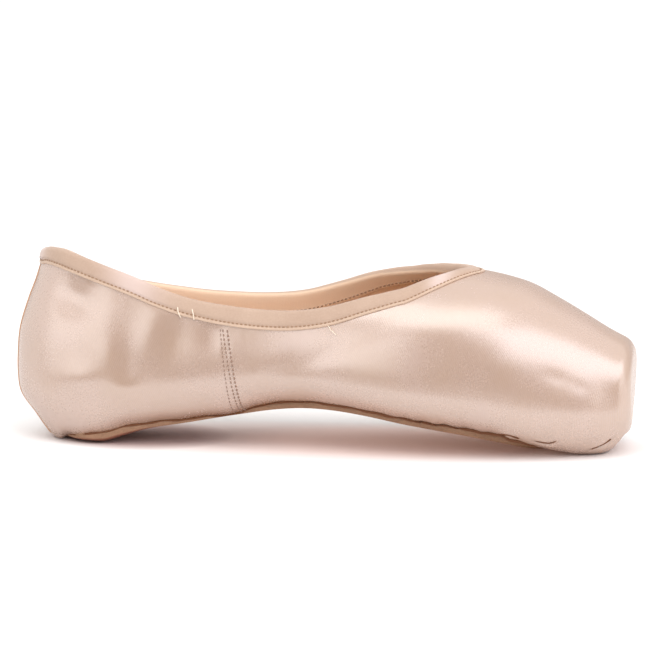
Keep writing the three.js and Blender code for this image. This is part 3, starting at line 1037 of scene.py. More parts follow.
class Pieces:
    """Makes meshes from primitives whose vertices are moved to their place."""

    @staticmethod
    def grid(
        name: str, points: Array, across: Array, closed: bool, tint: Array | None = None
    ) -> bpy.types.Object:
        """A closed body of rings, from a grid whose edges are brought together.

        Args:
            name: the piece's name.
            points: rings in the row frame in millimetres, shape (rows, spokes, 3).
            across: distance across the cloth of each ring, in millimetres.
            closed: whether the last ring meets the first.
            tint: a value to a ring, or to a point, that its material can read.

        Returns:
            The object, at the origin.
        """
        tint = np.zeros(len(points)) if tint is None else tint
        tint = np.broadcast_to(tint.reshape(len(points), -1), points.shape[:2])
        tint = np.concatenate([tint, tint[:, :1]], axis=1)
        ring = along_ring(points[len(points) // 2])
        points = np.concatenate([points, points[:, :1]], axis=1)
        if closed:
            gap = np.linalg.norm(points[0] - points[-1], axis=-1).mean()
            points = np.concatenate([points, points[:1]])
            across = np.append(across, across[-1] + gap)
            tint = np.concatenate([tint, tint[:1]])
        rows, columns = points.shape[:2]
        bpy.ops.object.select_all(action="DESELECT")
        bpy.ops.mesh.primitive_grid_add(x_subdivisions=columns - 1, y_subdivisions=rows - 1)
        piece = bpy.context.object
        piece.name = piece.data.name = name
        mesh = piece.data
        mesh.vertices.foreach_set("co", (points.reshape(-1, 3) * MM).ravel())
        corner = np.empty(len(mesh.loops), dtype=np.int32)
        mesh.loops.foreach_get("vertex_index", corner)
        place = np.stack(np.meshgrid(ring, across), axis=-1).reshape(-1, 2) * MM
        mesh.uv_layers[0].data.foreach_set("uv", place[corner].ravel())
        shade = mesh.attributes.new("tint", "FLOAT", "POINT")
        shade.data.foreach_set("value", tint.ravel().astype(np.float32))
        Pieces.weld(piece)
        return piece

    @staticmethod
    def weld(piece: bpy.types.Object) -> None:
        """Merges doubled vertices, turns the faces outwards and smooths the shading."""
        bpy.ops.object.mode_set(mode="EDIT")
        bpy.ops.mesh.select_all(action="SELECT")
        bpy.ops.mesh.remove_doubles(threshold=WELD_DISTANCE)
        bpy.ops.mesh.normals_make_consistent(inside=False)
        bpy.ops.object.mode_set(mode="OBJECT")
        bpy.ops.object.shade_smooth()
        piece.data.update()

    @staticmethod
    def stitches(name: str, places: Array, headings: Array, length: float, radius: float) -> bpy.types.Object:
        """A row of stitches in one mesh, each a copy of one small bead drawn long.

        Args:
            name: the piece's name.
            places: middles of the stitches in the row frame in millimetres.
            headings: directions that they lie in.
            length: length of one stitch.
            radius: radius of the thread.

        Returns:
            The object, at the origin.
        """
        bpy.ops.object.select_all(action="DESELECT")
        bpy.ops.mesh.primitive_uv_sphere_add(segments=6, ring_count=5, radius=1)
        bead = bpy.context.object
        shape = np.empty(len(bead.data.vertices) * 3)
        bead.data.vertices.foreach_get("co", shape)
        shape = shape.reshape(-1, 3)
        faces = [tuple(face.vertices) for face in bead.data.polygons]
        bpy.ops.object.delete()
        forward = unit(headings)
        helper = np.where(np.abs(forward[:, 2:]) > NEARLY_ALONG, [[1.0, 0, 0]], [[0, 0, 1.0]])
        side = unit(np.cross(helper, forward))
        top = np.cross(forward, side)
        points = places[:, None] + radius * (
            side[:, None] * shape[None, :, :1] + top[:, None] * shape[None, :, 1:2]
        )
        points = points + forward[:, None] * shape[None, :, 2:] * (length / 2)
        all_faces = [
            tuple(i + n * len(shape) for i in face) for n in range(len(places)) for face in faces
        ]
        mesh = bpy.data.meshes.new(name)
        mesh.from_pydata((points.reshape(-1, 3) * MM).tolist(), [], all_faces)
        piece = bpy.data.objects.new(name, mesh)
        bpy.context.collection.objects.link(piece)
        piece.select_set(True)
        bpy.context.view_layer.objects.active = piece
        Pieces.weld(piece)
        return piece

    @staticmethod
    def finish(piece: bpy.types.Object, material: bpy.types.Material, slot: str, *nodes: str) -> None:
        """Dresses a piece, attaches it to the root body and hides the solids that it stands for.

        Args:
            piece: the piece.
            material: its material.
            slot: not used.
            nodes: the solids that it stands for, if any.
        """
        piece.data.materials.clear()
        piece.data.materials.append(material)
        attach(piece, "root")
        if nodes:
            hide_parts(*nodes)
        log.info("%s: %d faces", piece.name, len(piece.data.polygons))


@dataclass
class Upper:
    """Satin and lining, drawn over the last and turned in under the foot."""

    last: Last = field(default_factory=Last)
    spokes_per_side: int = 230
    rows: int = 132
    inner_rows: int = 24
    crowding: float = 1.2
    path_steps: int = 200
    satin_thickness: float = 0.45
    heel_wall: float = 1.2
    box_wall: float = 3.0
    stiffener: Stretch = Stretch(135, 190)
    ripple_pitch: float = 13.0
    ripple_height: float = 0.26
    dents: tuple[Dent, ...] = (
        Dent(-93, 56, 9, 7, -16, 2.2),
        Dent(-79, 36, 6.5, 12, 4, -0.9),
        Dent(-89, 27, 7, 5.5, 0, -0.5),
        Dent(-86, 18, 12, 6, 5, 0.4),
        Dent(-72, 32, 3.6, 7, 5, 0.38),
        Dent(-73.5, 23, 5, 4, 0, -0.5),
        Dent(-61.5, 45, 6.5, 12, -17, -1.1),
        Dent(-56, 43, 9, 8, 0, 0.7),
        Dent(-39.5, 44, 5, 6, 0, 0.6),
        Dent(91, 32, 5, 2.4, -25, 0.2),
        Dent(100, 28, 4, 2.2, -35, 0.18),
        Dent(103, 24, 5, 12, 0, -0.4),
        Dent(103, 17, 20, 9.5, -12, -1.7),
        Dent(44, 50, 18, 8, 8, -0.9),
        Dent(1, 37, 15, 4, 32, 0.35),
        Dent(17, 45, 13, 3.6, 28, 0.3),
        Dent(-12, 33, 12, 4, 40, 0.25),
    )
    creases: tuple[Crease, ...] = (
        Crease(((83, 7.2), (85, 6.4), (88, 5.9), (90, 6.3), (91.6, 7.8)), 0.55, 0.8),
        Crease(((103.4, 2.5), (107.1, 4.1), (109.3, 5.4), (111.4, 7.6)), 0.6, 1.1),
        Crease(((112.2, 2.6), (114.4, 5), (115.6, 7.6)), 0.6, 0.9),
        Crease(((69.5, 8.8), (73, 8.9), (77, 7.8)), 0.7, 1.0),
        Crease(((-35, 48), (-33, 32), (-29.6, 14)), 0.5, 0.28),
        Crease(((-35, 48), (-33, 32), (-29.6, 14)), 0.5, 0.28, Side.FAR),
    )
    sag: Table = Table(
        ("x", "drop"),
        (
            (-106, 1.4),
            (-99, 2.3),
            (-92, 2.4),
            (-85, 2.5),
            (-75, 1.8),
            (-55, 1.8),
            (-42, 2),
            (-31, 2.3),
            (-25, 0.8),
            (-17, 0.1),
            (0, 0),
            (20, 0),
            (118, 0),
        ),
    )
    sag_start: Stretch = Stretch(0.3, 3.4)
    sag_end: Stretch = Stretch(8, 24)
    tape_hold: Stretch = Stretch(4.5, 9)
    scallop_pitch: float = 8.6
    scallop_height: float = 0.5
    scallop_start: Stretch = Stretch(15, 50)
    scallop_end: Stretch = Stretch(78, 90)
    gather_pitch: float = 4.6
    gather_height: float = 0.11
    toe_pleats: Pleats = Pleats(78, 1, 4.3, 1.1, 24, 4)
    heel_pleats: Pleats = Pleats(-84, -1, 3.6, 0.3, 7, 7)
    # Where painted shade darkens the satin: along the shoe, and up from the turned-in edge.
    painted_shade_start: Stretch = Stretch(-70, -25)
    painted_shade_end: Stretch = Stretch(58, 84)
    painted_shade_up: Stretch = Stretch(4, 14)
    painted_shade_strength: float = 1.0
    outer_pull: float = 0.1
    near_points: int = 6
    near_enough: float = 0.05
    turning: float = 4.0
    bridging: int = 3
    scallop_wander: float = 7.0
    ripple_wander: float = 23.0
    ripple_reach: float = 7.0
    gather_wander: float = 17.0
    gather_swell: float = 9.0
    gather_reach: float = 6.0
    glue: float = 0.05
    lining_floor: float = 0.55
    hem_reach: Stretch = Stretch(3.2, 14)
    slope_depth: float = 0.8

    def __post_init__(self) -> None:
        """Finds the skin and brings it into the row frame."""
        self.spokes = Spokes(self.last, self.spokes_per_side)
        self.paths = self.spokes.paths(self.path_steps)
        low, high = (np.array(corner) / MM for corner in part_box("upper"))
        ends = self.paths.reshape(-1, 3)
        middle = (ends.min(axis=0) + ends.max(axis=0)) / 2
        self.shift = (low + high) / 2 - middle
        self.shift[2] = 0.0
        self.paths = self.paths + self.shift
        smooth = [spread(path, self.rows, self.turning, self.crowding) for path in self.paths]
        smooth = np.stack(smooth, axis=1)
        step = np.linalg.norm(np.diff(smooth, axis=0), axis=-1)
        self.from_edge = np.concatenate([np.zeros((1, step.shape[1])), np.cumsum(step, axis=0)])
        self.to_collar = self.from_edge[-1:] - self.from_edge
        x = smooth[..., 0]
        wave = 2 * math.pi * x / self.scallop_pitch + np.sin(x / self.scallop_wander)
        scallop = 0.5 + 0.5 * np.sin(wave)
        scallop = scallop * self.scallop_start.rise(x) * self.scallop_end.fade(x)
        drop = self.sag.read(x)["drop"] + self.scallop_height * scallop
        drop = drop * self.sag_start.rise(self.from_edge) * self.sag_end.fade(self.from_edge)
        smooth[..., 2] = smooth[..., 2] - drop
        self.plain = smooth
        self.normals = ring_normals(smooth)
        held = self.tape_hold.rise(self.to_collar)
        soft = held * sum(mark.relief(smooth) for mark in self.dents)
        folds = held * self.folds(smooth)
        self.skin = smooth + self.normals * (soft + folds)[..., None]
        self.under = smooth + self.normals * (soft + lowest_nearby(folds, self.bridging))[..., None]

    def folds(self, skin: Array) -> Array:
        """Creases, pleats and ripples, which the layers under the satin don't follow.

        Args:
            skin: points of the skin, shape (rows, spokes, 3).

        Returns:
            The lift of each point.
        """
        ring = along_ring(skin[0])[:-1]
        lift = sum(mark.relief(skin) for mark in self.creases)
        lift = lift + self.toe_pleats.relief(skin, ring, self.from_edge)
        lift = lift + self.heel_pleats.relief(skin, ring, self.from_edge)
        sway = 2 * np.sin(ring / self.ripple_wander)
        ripple = np.sin(2 * math.pi * ring / self.ripple_pitch + sway)
        lift = lift + self.ripple_height * ripple[None, :] * np.exp(-self.from_edge / self.ripple_reach)
        sway = 3 * np.sin(ring / self.gather_wander)
        gather = np.sin(2 * math.pi * ring / self.gather_pitch + sway)
        gather = gather * (0.6 + 0.4 * np.sin(ring / self.gather_swell))
        return lift + self.gather_height * gather[None, :] * np.exp(-self.to_collar / self.gather_reach)

    def wall(self, points: Array) -> Array:
        """Thickness of the upper at points of the row frame."""
        box = self.stiffener.rise(points[..., 0] - self.shift[0])
        return self.heel_wall + (self.box_wall - self.heel_wall) * box

    @staticmethod
    def grounded(points: Array, lowest: float) -> Array:
        """Points lifted so that none lies lower than a height over the floor.

        Args:
            points: points in the row frame.
            lowest: the least height.

        Returns:
            The points.
        """
        points = points.copy()
        points[..., 2] = np.maximum(points[..., 2], lowest)
        return points

    def satin(self) -> bpy.types.Object:
        """The outer cloth as a thin closed body, with painted shade on it just above the sole.

        Returns:
            The object.
        """
        back = np.linspace(self.rows, 0, self.inner_rows).astype(int)
        inner = self.under[back] - self.normals[back] * self.satin_thickness
        rings = self.grounded(np.concatenate([self.skin, inner]), 0.0)
        x = self.skin[..., 0]
        # Painted shade just above the sole, carried to the material by the tint.
        painted_shade = self.painted_shade_start.rise(x) * self.painted_shade_end.fade(x) * self.painted_shade_up.fade(self.from_edge)
        painted_shade = self.painted_shade_strength * np.concatenate([painted_shade, painted_shade[back]])
        return Pieces.grid("satin_upper", rings, self.measure(rings), True, painted_shade)

    def lining(self) -> bpy.types.Object:
        """The cotton lining and the stiffened layers under the satin, as a closed body.

        Returns:
            The object.
        """
        every = slice(None, None, 2)
        skin, normals = self.under[every], self.normals[every]
        wall = self.wall(skin)[..., None]
        outer = skin - normals * (self.satin_thickness + self.glue)
        inner = (skin - normals * wall)[::-1]
        rings = self.grounded(np.concatenate([outer, inner]), self.lining_floor)
        return Pieces.grid("cotton_lining", rings, self.measure(rings), True)

    @staticmethod
    def measure(rings: Array) -> Array:
        """Distance across the cloth from ring to ring, along one spoke of the side."""
        path = rings[:, rings.shape[1] // 4]
        return along_line(path)

    def hem_line(self, side: Side, above: float) -> Array:
        """The line along one side where the satin turns in under the foot.

        Args:
            side: which side of the shoe.
            above: rise of the sight line, in degrees, along which the turn is judged.

        Returns:
            The lowest points in sight, from the heel to the toe.
        """
        half = self.skin.shape[1] // 2
        spokes = slice(1, half) if side is Side.NEAR else slice(-1, half, -1)
        skin, from_edge = self.skin[:, spokes], self.from_edge[:, spokes]
        rise = math.radians(above)
        out = skin[..., 1] * side.value
        seen = skin[..., 2] * math.cos(rise) - out * math.sin(rise)
        turned = (from_edge > self.hem_reach.start) & (from_edge < self.hem_reach.end)
        seen = np.where(turned, seen, np.inf)
        lowest = np.argmin(seen, axis=0)
        return skin[lowest, np.arange(skin.shape[1])]

    def on_skin(self, line: Sequence[tuple[float, float]], steps: int) -> tuple[Array, Array]:
        """Points of the near side's skin along a line that is seen from the side.

        Args:
            line: corners of the line, as x and height before the skin is marked.
            steps: how many points to return.

        Returns:
            The points and the normals there.
        """
        half = self.skin.shape[1] // 2
        plain, points, normals = (
            sheet[:, 1:half].reshape(-1, 3) for sheet in (self.plain, self.skin, self.normals)
        )
        corners = np.array(line, dtype=float)
        at = np.linspace(0, along_line(corners)[-1], steps)
        wanted = np.stack([np.interp(at, along_line(corners), c) for c in corners.T], axis=1)
        away = np.linalg.norm(plain[None, :, [0, 2]] - wanted[:, None], axis=2)
        inward = self.outer_pull * (plain[:, 1] - plain[:, 1].min())
        nearest = np.argsort(away + inward, axis=1)[:, : self.near_points]
        weight = 1 / (np.take_along_axis(away, nearest, axis=1) + self.near_enough) ** 2
        weight = weight / weight.sum(axis=1, keepdims=True)
        found = np.sum(points[nearest] * weight[..., None], axis=1)
        return found, unit(np.sum(normals[nearest] * weight[..., None], axis=1))

    def down_from_collar(self, depth: Array) -> tuple[Array, Array]:
        """Points and normals of the unmarked skin at depths below the collar.

        Args:
            depth: depths of shape (spokes,), measured down the skin.

        Returns:
            The points and the normals, one to a spoke.
        """
        points = np.empty((len(self.paths), 3))
        lower = np.empty((len(self.paths), 3))
        for index, path in enumerate(self.paths):
            down = path[::-1]
            measure = along_line(down)
            for target, extra in ((points, 0.0), (lower, self.slope_depth)):
                at = depth[index] + extra
                target[index] = [np.interp(at, measure, column) for column in down.T]
        around = np.roll(points, -1, axis=0) - np.roll(points, 1, axis=0)
        return points, unit(np.cross(around, points - lower))


@dataclass
class Tape:
    """The cotton tape folded over the collar and stitched near its lower edge."""

    upper: Upper
    puff: float = 1.05
    hem_roll: float = 0.62
    stitch_up: float = 1.3
    groove: float = 0.4
    inside_extra: float = 1.5
    pucker: float = 0.07
    hem_rings: tuple[int, ...] = (0, 1, 2, 3, 4)
    hem_tint: float = 0.22
    inside_rings: tuple[int, int] = (15, 24)
    face_rings: tuple[int, int] = (5, 14)
    face_limit: float = 4.0
    least_slant: float = 0.55
    up_steps: int = 6
    wrinkle_pitch: float = 1.9
    wrinkle_wander: float = 11.0
    inside_puff: float = 0.75
    skin_gap: float = 0.03
    wall_gap: float = 0.04
    roll_up: float = 0.65
    roll_top: float = 1.0
    inner_seam_drop: float = 1.4
    inner_seam_out: float = 0.85
    # Patches of painted sheen on the tape's face: middle, half-length and strength.
    painted_sheen_places: tuple[tuple[float, float, float], ...] = (
        (-111, 4, 0.9),
        (-70, 10, 0.85),
        (46, 4, 0.9),
    )

    def __post_init__(self) -> None:
        """Works out how far the tape reaches down the outside at each spoke."""
        upper = self.upper
        collar = upper.paths[:, -1]
        width = upper.last.collar.read(collar[:, 0] - upper.shift[0])["tape"]
        around = unit(np.roll(collar, -1, axis=0) - np.roll(collar, 1, axis=0))
        up = unit(collar - upper.paths[:, -self.up_steps])
        slant = np.maximum(self.least_slant, np.linalg.norm(np.cross(up, around), axis=1))
        self.width = width / slant
        self.up = up
        self.ring = along_ring(collar)[:-1]

    def contour(self) -> list[tuple[Array, Array]]:
        """Depth below the collar and distance out from the skin, round the folded tape.

        Returns:
            One pair to a ring, each with a value to a spoke.
        """
        wide, wall = self.width, self.upper.wall(self.upper.paths[:, -1])
        none = np.zeros_like(wide)
        sway = 2 * np.sin(self.ring / self.wrinkle_wander)
        wrinkle = self.pucker * np.sin(self.ring / self.wrinkle_pitch + sway)
        face = none + self.puff + wrinkle
        inner = -wall - self.inside_puff - wrinkle * 0.5
        stitch = wide - self.stitch_up
        outside = [
            (wide, none + self.skin_gap),
            (wide + 0.1, none + 0.3),
            (wide - 0.15, none + self.hem_roll),
            (wide - 0.7, none + self.hem_roll + 0.06),
            (stitch + 0.15, none + self.groove),
            (stitch - 0.15, none + self.groove),
            (stitch - 0.8, face * 0.78),
            (wide * 0.6, face * 0.95),
            (wide * 0.42, face),
            (wide * 0.25, face * 1.03),
            (none + 0.6, face),
            (none, face * 0.86),
        ]
        over = [
            (none - self.roll_up, face * 0.45),
            (none - self.roll_top, -wall * 0.25),
            (none - self.roll_top, -wall * 0.75),
            (none - self.roll_up, inner * 0.75 - wall * 0.2),
        ]
        inside = [
            (none, inner - 0.15),
            (none + 0.8, inner - 0.3),
            (wide * 0.5, inner - 0.2),
            (stitch, inner),
            (wide + 0.2, inner + 0.1),
            (wide + self.inside_extra, inner + 0.05),
            (wide + self.inside_extra + 0.2, -wall - 0.35),
            (wide + self.inside_extra, -wall - self.wall_gap),
        ]
        hidden = [
            (wide * 0.5, -wall - self.wall_gap),
            (none, -wall - self.wall_gap),
            (none, none + self.skin_gap),
            (wide * 0.5, none + self.skin_gap),
        ]
        return outside + over + inside + hidden

    def at(self, depth: Array, out: Array) -> Array:
        """Points at a depth below the collar and a distance out from the skin.

        Args:
            depth: depth below the collar, negative over it, one to a spoke.
            out: distance out from the skin, one to a spoke.

        Returns:
            The points, one to a spoke.
        """
        points, normals = self.upper.down_from_collar(np.maximum(depth, 0))
        above = np.maximum(-depth, 0)[:, None]
        return points + normals * out[:, None] + self.up * above

    def tape(self) -> bpy.types.Object:
        """The tape as one closed band, tinted at its hems, painted lighter on its inside and given painted
        sheen in places.

        Returns:
            The object.
        """
        rings = np.stack([self.at(depth, out) for depth, out in self.contour()])
        tint = np.zeros(len(rings))
        tint[list(self.hem_rings)] = self.hem_tint
        # The inside is painted lighter, standing in for light on the shaded inner wall.
        tint[slice(*self.inside_rings)] = 1.0
        tint = np.repeat(tint[:, None], rings.shape[1], axis=1)
        face = slice(*self.face_rings)
        x, y = rings[face, :, 0], rings[face, :, 1]
        # Painted sheen on the tape's outer face, on the near half.
        for middle, half, strength in self.painted_sheen_places:
            bright = strength * np.exp(-(((x - middle) / half) ** 2))
            tint[face] = tint[face] - bright * (y < self.face_limit)
        return Pieces.grid("collar_tape", rings, Upper.measure(rings), True, tint)

    def seam_line(self) -> Array:
        """The line that the tape's stitches follow."""
        return self.at(self.width - self.stitch_up, np.full_like(self.width, self.groove + 0.1))

    def inner_seam_line(self) -> Array:
        """The line of the stitches on the inside of the collar."""
        wall = self.upper.wall(self.upper.paths[:, -1])
        depth = self.width - self.stitch_up + self.inner_seam_drop
        return self.at(depth, -wall - self.inner_seam_out)


@dataclass
class Sewing:
    """Stitches, the back seam, loose threads and dark strands of painted shade in folds and gaps."""

    upper: Upper
    tape: Tape
    pitch: float = 1.62
    length: float = 1.15
    radius: float = 0.28
    seam_foot: float = -28.2
    seam_head: float = -33.7
    seam_rows: tuple[tuple[float, float], ...] = ((0, 0), (-1.7, -1.6), (-2.7, -4.1))
    seam_radii: tuple[float, ...] = (0.36, 0.27, 0.19)
    gap: Table = Table(
        ("x", "radius"),
        (
            (-98, 0.4),
            (-60, 0.46),
            (-30, 0.36),
            (-5, 0.46),
            (15, 0.66),
            (32, 0.7),
            (45, 0.46),
            (58, 0.46),
            (66, 0.8),
            (74, 0.66),
            (86, 0.4),
        ),
    )
    gap_from: float = -97.0
    gap_to: float = 84.0
    gap_drop: float = 0.28
    gap_waves: tuple[tuple[float, float], ...] = ((0.25, 2.9), (0.2, 1.3))
    gap_blunt: int = 12
    sight_rise: float = 10.0
    seam_low: float = 12.4
    seam_high: float = 46.8
    seam_proud: float = 0.07
    back_seam_offset: float = 4.6
    back_spokes: int = 40
    welt_proud: float = 0.1
    welt_radius: float = 0.3
    welt_tuck: float = 0.5
    welt_lowest: float = 1.0
    strand_sides: int = 8
    thread_steps: int = 14
    thread_proud: float = 0.1
    bow_start: float = 0.1
    fold_steps: int = 26
    fold_proud: float = 0.05
    fold_blunt: int = 2
    loose_lines: tuple[tuple[tuple[tuple[float, float], ...], float], ...] = (
        (((5.2, 49.4), (6.6, 47.6), (8.8, 46.0)), 0.9),
        (((-52.6, 54.8), (-52.2, 52.8), (-51.6, 50.2)), 1.1),
        (((-47.2, 54.2), (-46.9, 52.2), (-46.4, 49.4)), 1.1),
    )
    loose_radii: tuple[float, ...] = (0.15, 0.24, 0.22)
    # Lines and radii of strands of painted shade in the folds.
    fold_shadow_lines: tuple[tuple[tuple[tuple[float, float], ...], float], ...] = (
        (((83.6, 7.0), (85, 6.4), (88, 5.9), (90, 6.3), (91.4, 7.5)), 0.42),
        (((103.8, 2.7), (107.1, 4.1), (109.3, 5.4), (111.1, 7.2)), 0.5),
        (((69.4, 8.8), (73, 8.9), (77.4, 7.7)), 0.75),
    )

    @staticmethod
    def spaced(line: Array, pitch: float, closed: bool) -> tuple[Array, Array]:
        """Middles and headings of stitches along a line.

        Args:
            line: points of the line.
            pitch: distance from stitch to stitch.
            closed: whether the line's end meets its start.

        Returns:
            The middles and the headings.
        """
        if closed:
            line = np.concatenate([line, line[:1]])
        measure = along_line(line)
        count = max(2, int(measure[-1] / pitch))
        middles = (np.arange(count) + 0.5) * measure[-1] / count
        places, ahead, behind = (
            np.stack([np.interp(at, measure, column) for column in line.T], axis=1)
            for at in (middles, middles + HEADING_STEP, middles - HEADING_STEP)
        )
        return places, ahead - behind

    def seam_path(self, head: float, foot: float, side: Side) -> Array:
        """A line down the side of the skin, from under the tape to the sole.

        Args:
            head: distance of the row's upper end from the seam's front row.
            foot: distance of its lower end.
            side: which side of the shoe.

        Returns:
            Points of the line, just proud of the satin.
        """
        skin = self.upper.skin
        half = skin.shape[1] // 2
        spokes = slice(1, half) if side is Side.NEAR else slice(half + 1, None)
        points, normals = skin[:, spokes], self.upper.normals[:, spokes]
        foot, head = self.seam_foot + foot, self.seam_head + head
        line = []
        for row in range(len(skin)):
            z = points[row, :, 2]
            share = np.clip((z - self.seam_low) / (self.seam_high - self.seam_low), 0, 1)
            target = foot + (head - foot) * share
            away = points[row, :, 0] - target
            index = int(np.argmin(np.abs(away)))
            if self.seam_low < z[index] < self.seam_high:
                other = index + (1 if (away[index] < 0) == (side is Side.NEAR) else -1)
                share_other = abs(away[index]) / (abs(away[index]) + abs(away[other]))
                between = points[row, index] * (1 - share_other) + points[row, other] * share_other
                line.append(between + normals[row, index] * self.seam_proud)
        return np.array(line)

    def side_seams(self) -> list[bpy.types.Object]:
        """Three rows of stitches down either side, the front row the boldest.

        Returns:
            One object to a row.
        """
        made = []
        for index, ((head, foot), radius) in enumerate(zip(self.seam_rows, self.seam_radii)):
            paths = [self.seam_path(head, foot, side) for side in Side]
            rows = [self.spaced(path, self.pitch, False) for path in paths]
            places, headings = (np.concatenate(pair) for pair in zip(*rows))
            name = f"side_seam_row_{index + 1}"
            made.append(Pieces.stitches(name, places, headings, self.length, radius))
        return made

    def tape_rows(self) -> bpy.types.Object:
        """Stitches along the tape, outside and inside."""
        outer = self.spaced(self.tape.seam_line(), self.pitch, True)
        inner = self.spaced(self.tape.inner_seam_line(), self.pitch, True)
        places, headings = (np.concatenate(pair) for pair in zip(outer, inner))
        return Pieces.stitches("tape_stitches", places, headings, self.length, self.radius)

    def sole_gap_shadows(self) -> list[bpy.types.Object]:
        """Dark strands of painted shade in the gaps between the satin and the edge of the sole.

        Returns:
            One object to a side.
        """
        made = []
        for side in Side:
            line = self.upper.hem_line(side, self.sight_rise)
            line = line[(line[:, 0] > self.gap_from) & (line[:, 0] < self.gap_to)]
            radius = self.gap.read(line[:, 0])["radius"]
            wander = 1 + sum(high * np.sin(line[:, 0] / long) for high, long in self.gap_waves)
            line = smoothed(line - np.array([0.0, 0.0, self.gap_drop]), 1)
            name = f"sole_gap_shadow_{side.name.lower()}"
            made.append(self.strand(name, line, radius * wander, self.gap_blunt))
        return made

    def strand(
        self, name: str, line: Array, radius: float | Array, blunt: int = 16
    ) -> bpy.types.Object:
        """A thread, a welt or a strand of painted shade along a line, as a closed body of small rings.

        Args:
            name: the piece's name.
            line: points that it runs along.
            radius: its radius, at all points or at each, tapered at both ends.
            blunt: how late the taper begins.

        Returns:
            The object.
        """
        heading = unit(np.gradient(line, axis=0))
        helper = np.where(np.abs(heading[:, :1]) > NEARLY_ALONG, [[0, 0, 1.0]], [[1.0, 0, 0]])
        side = unit(np.cross(helper, heading))
        top = np.cross(heading, side)
        angle = np.linspace(0, 2 * math.pi, self.strand_sides, endpoint=False)
        share = np.linspace(0, 1, len(line))
        taper = np.sqrt(np.clip(1 - (2 * share - 1) ** blunt, 0, 1)) * radius
        rings = line[:, None] + taper[:, None, None] * (
            side[:, None] * np.cos(angle)[None, :, None] + top[:, None] * np.sin(angle)[None, :, None]
        )
        return Pieces.grid(name, rings, along_line(line), False)

    def back_seam(self) -> bpy.types.Object:
        """The thin welt down the back of the heel.

        Returns:
            The object.
        """
        upper, line = self.upper, []
        for points, normals, left in zip(upper.skin, upper.normals, upper.to_collar[:, 0]):
            across = points[0, 1] - points[: self.back_spokes, 1]
            index = int(np.argmin(np.abs(across - self.back_seam_offset)))
            place = points[index] + normals[index] * self.welt_proud
            if left > self.tape.width[0] - self.welt_tuck and place[2] > self.welt_lowest:
                line.append(place)
        return self.strand("back_seam_welt", smoothed(np.array(line), 3), self.welt_radius)

    def loose_threads(self) -> list[bpy.types.Object]:
        """The pale thread ends that hang over the satin below the tape.

        Returns:
            One object to a thread.
        """
        made = []
        for index, (line, proud) in enumerate(self.loose_lines):
            points, normals = self.upper.on_skin(line, self.thread_steps)
            share = np.linspace(self.bow_start, 1, self.thread_steps)[:, None]
            lift = self.thread_proud + proud * np.sin(math.pi * share)
            points = smoothed(points + normals * lift, 2)
            made.append(self.strand(f"loose_thread_{index + 1}", points, self.loose_radii[index]))
        return made

    def fold_shadows(self) -> list[bpy.types.Object]:
        """Dark strands of painted shade in the bottom of the sharp folds.

        Returns:
            One object to a fold.
        """
        made = []
        for index, (line, radius) in enumerate(self.fold_shadow_lines):
            points, normals = self.upper.on_skin(line, self.fold_steps)
            points = smoothed(points + normals * self.fold_proud, 4)
            made.append(self.strand(f"fold_shadow_{index + 1}", points, radius, self.fold_blunt))
        return made


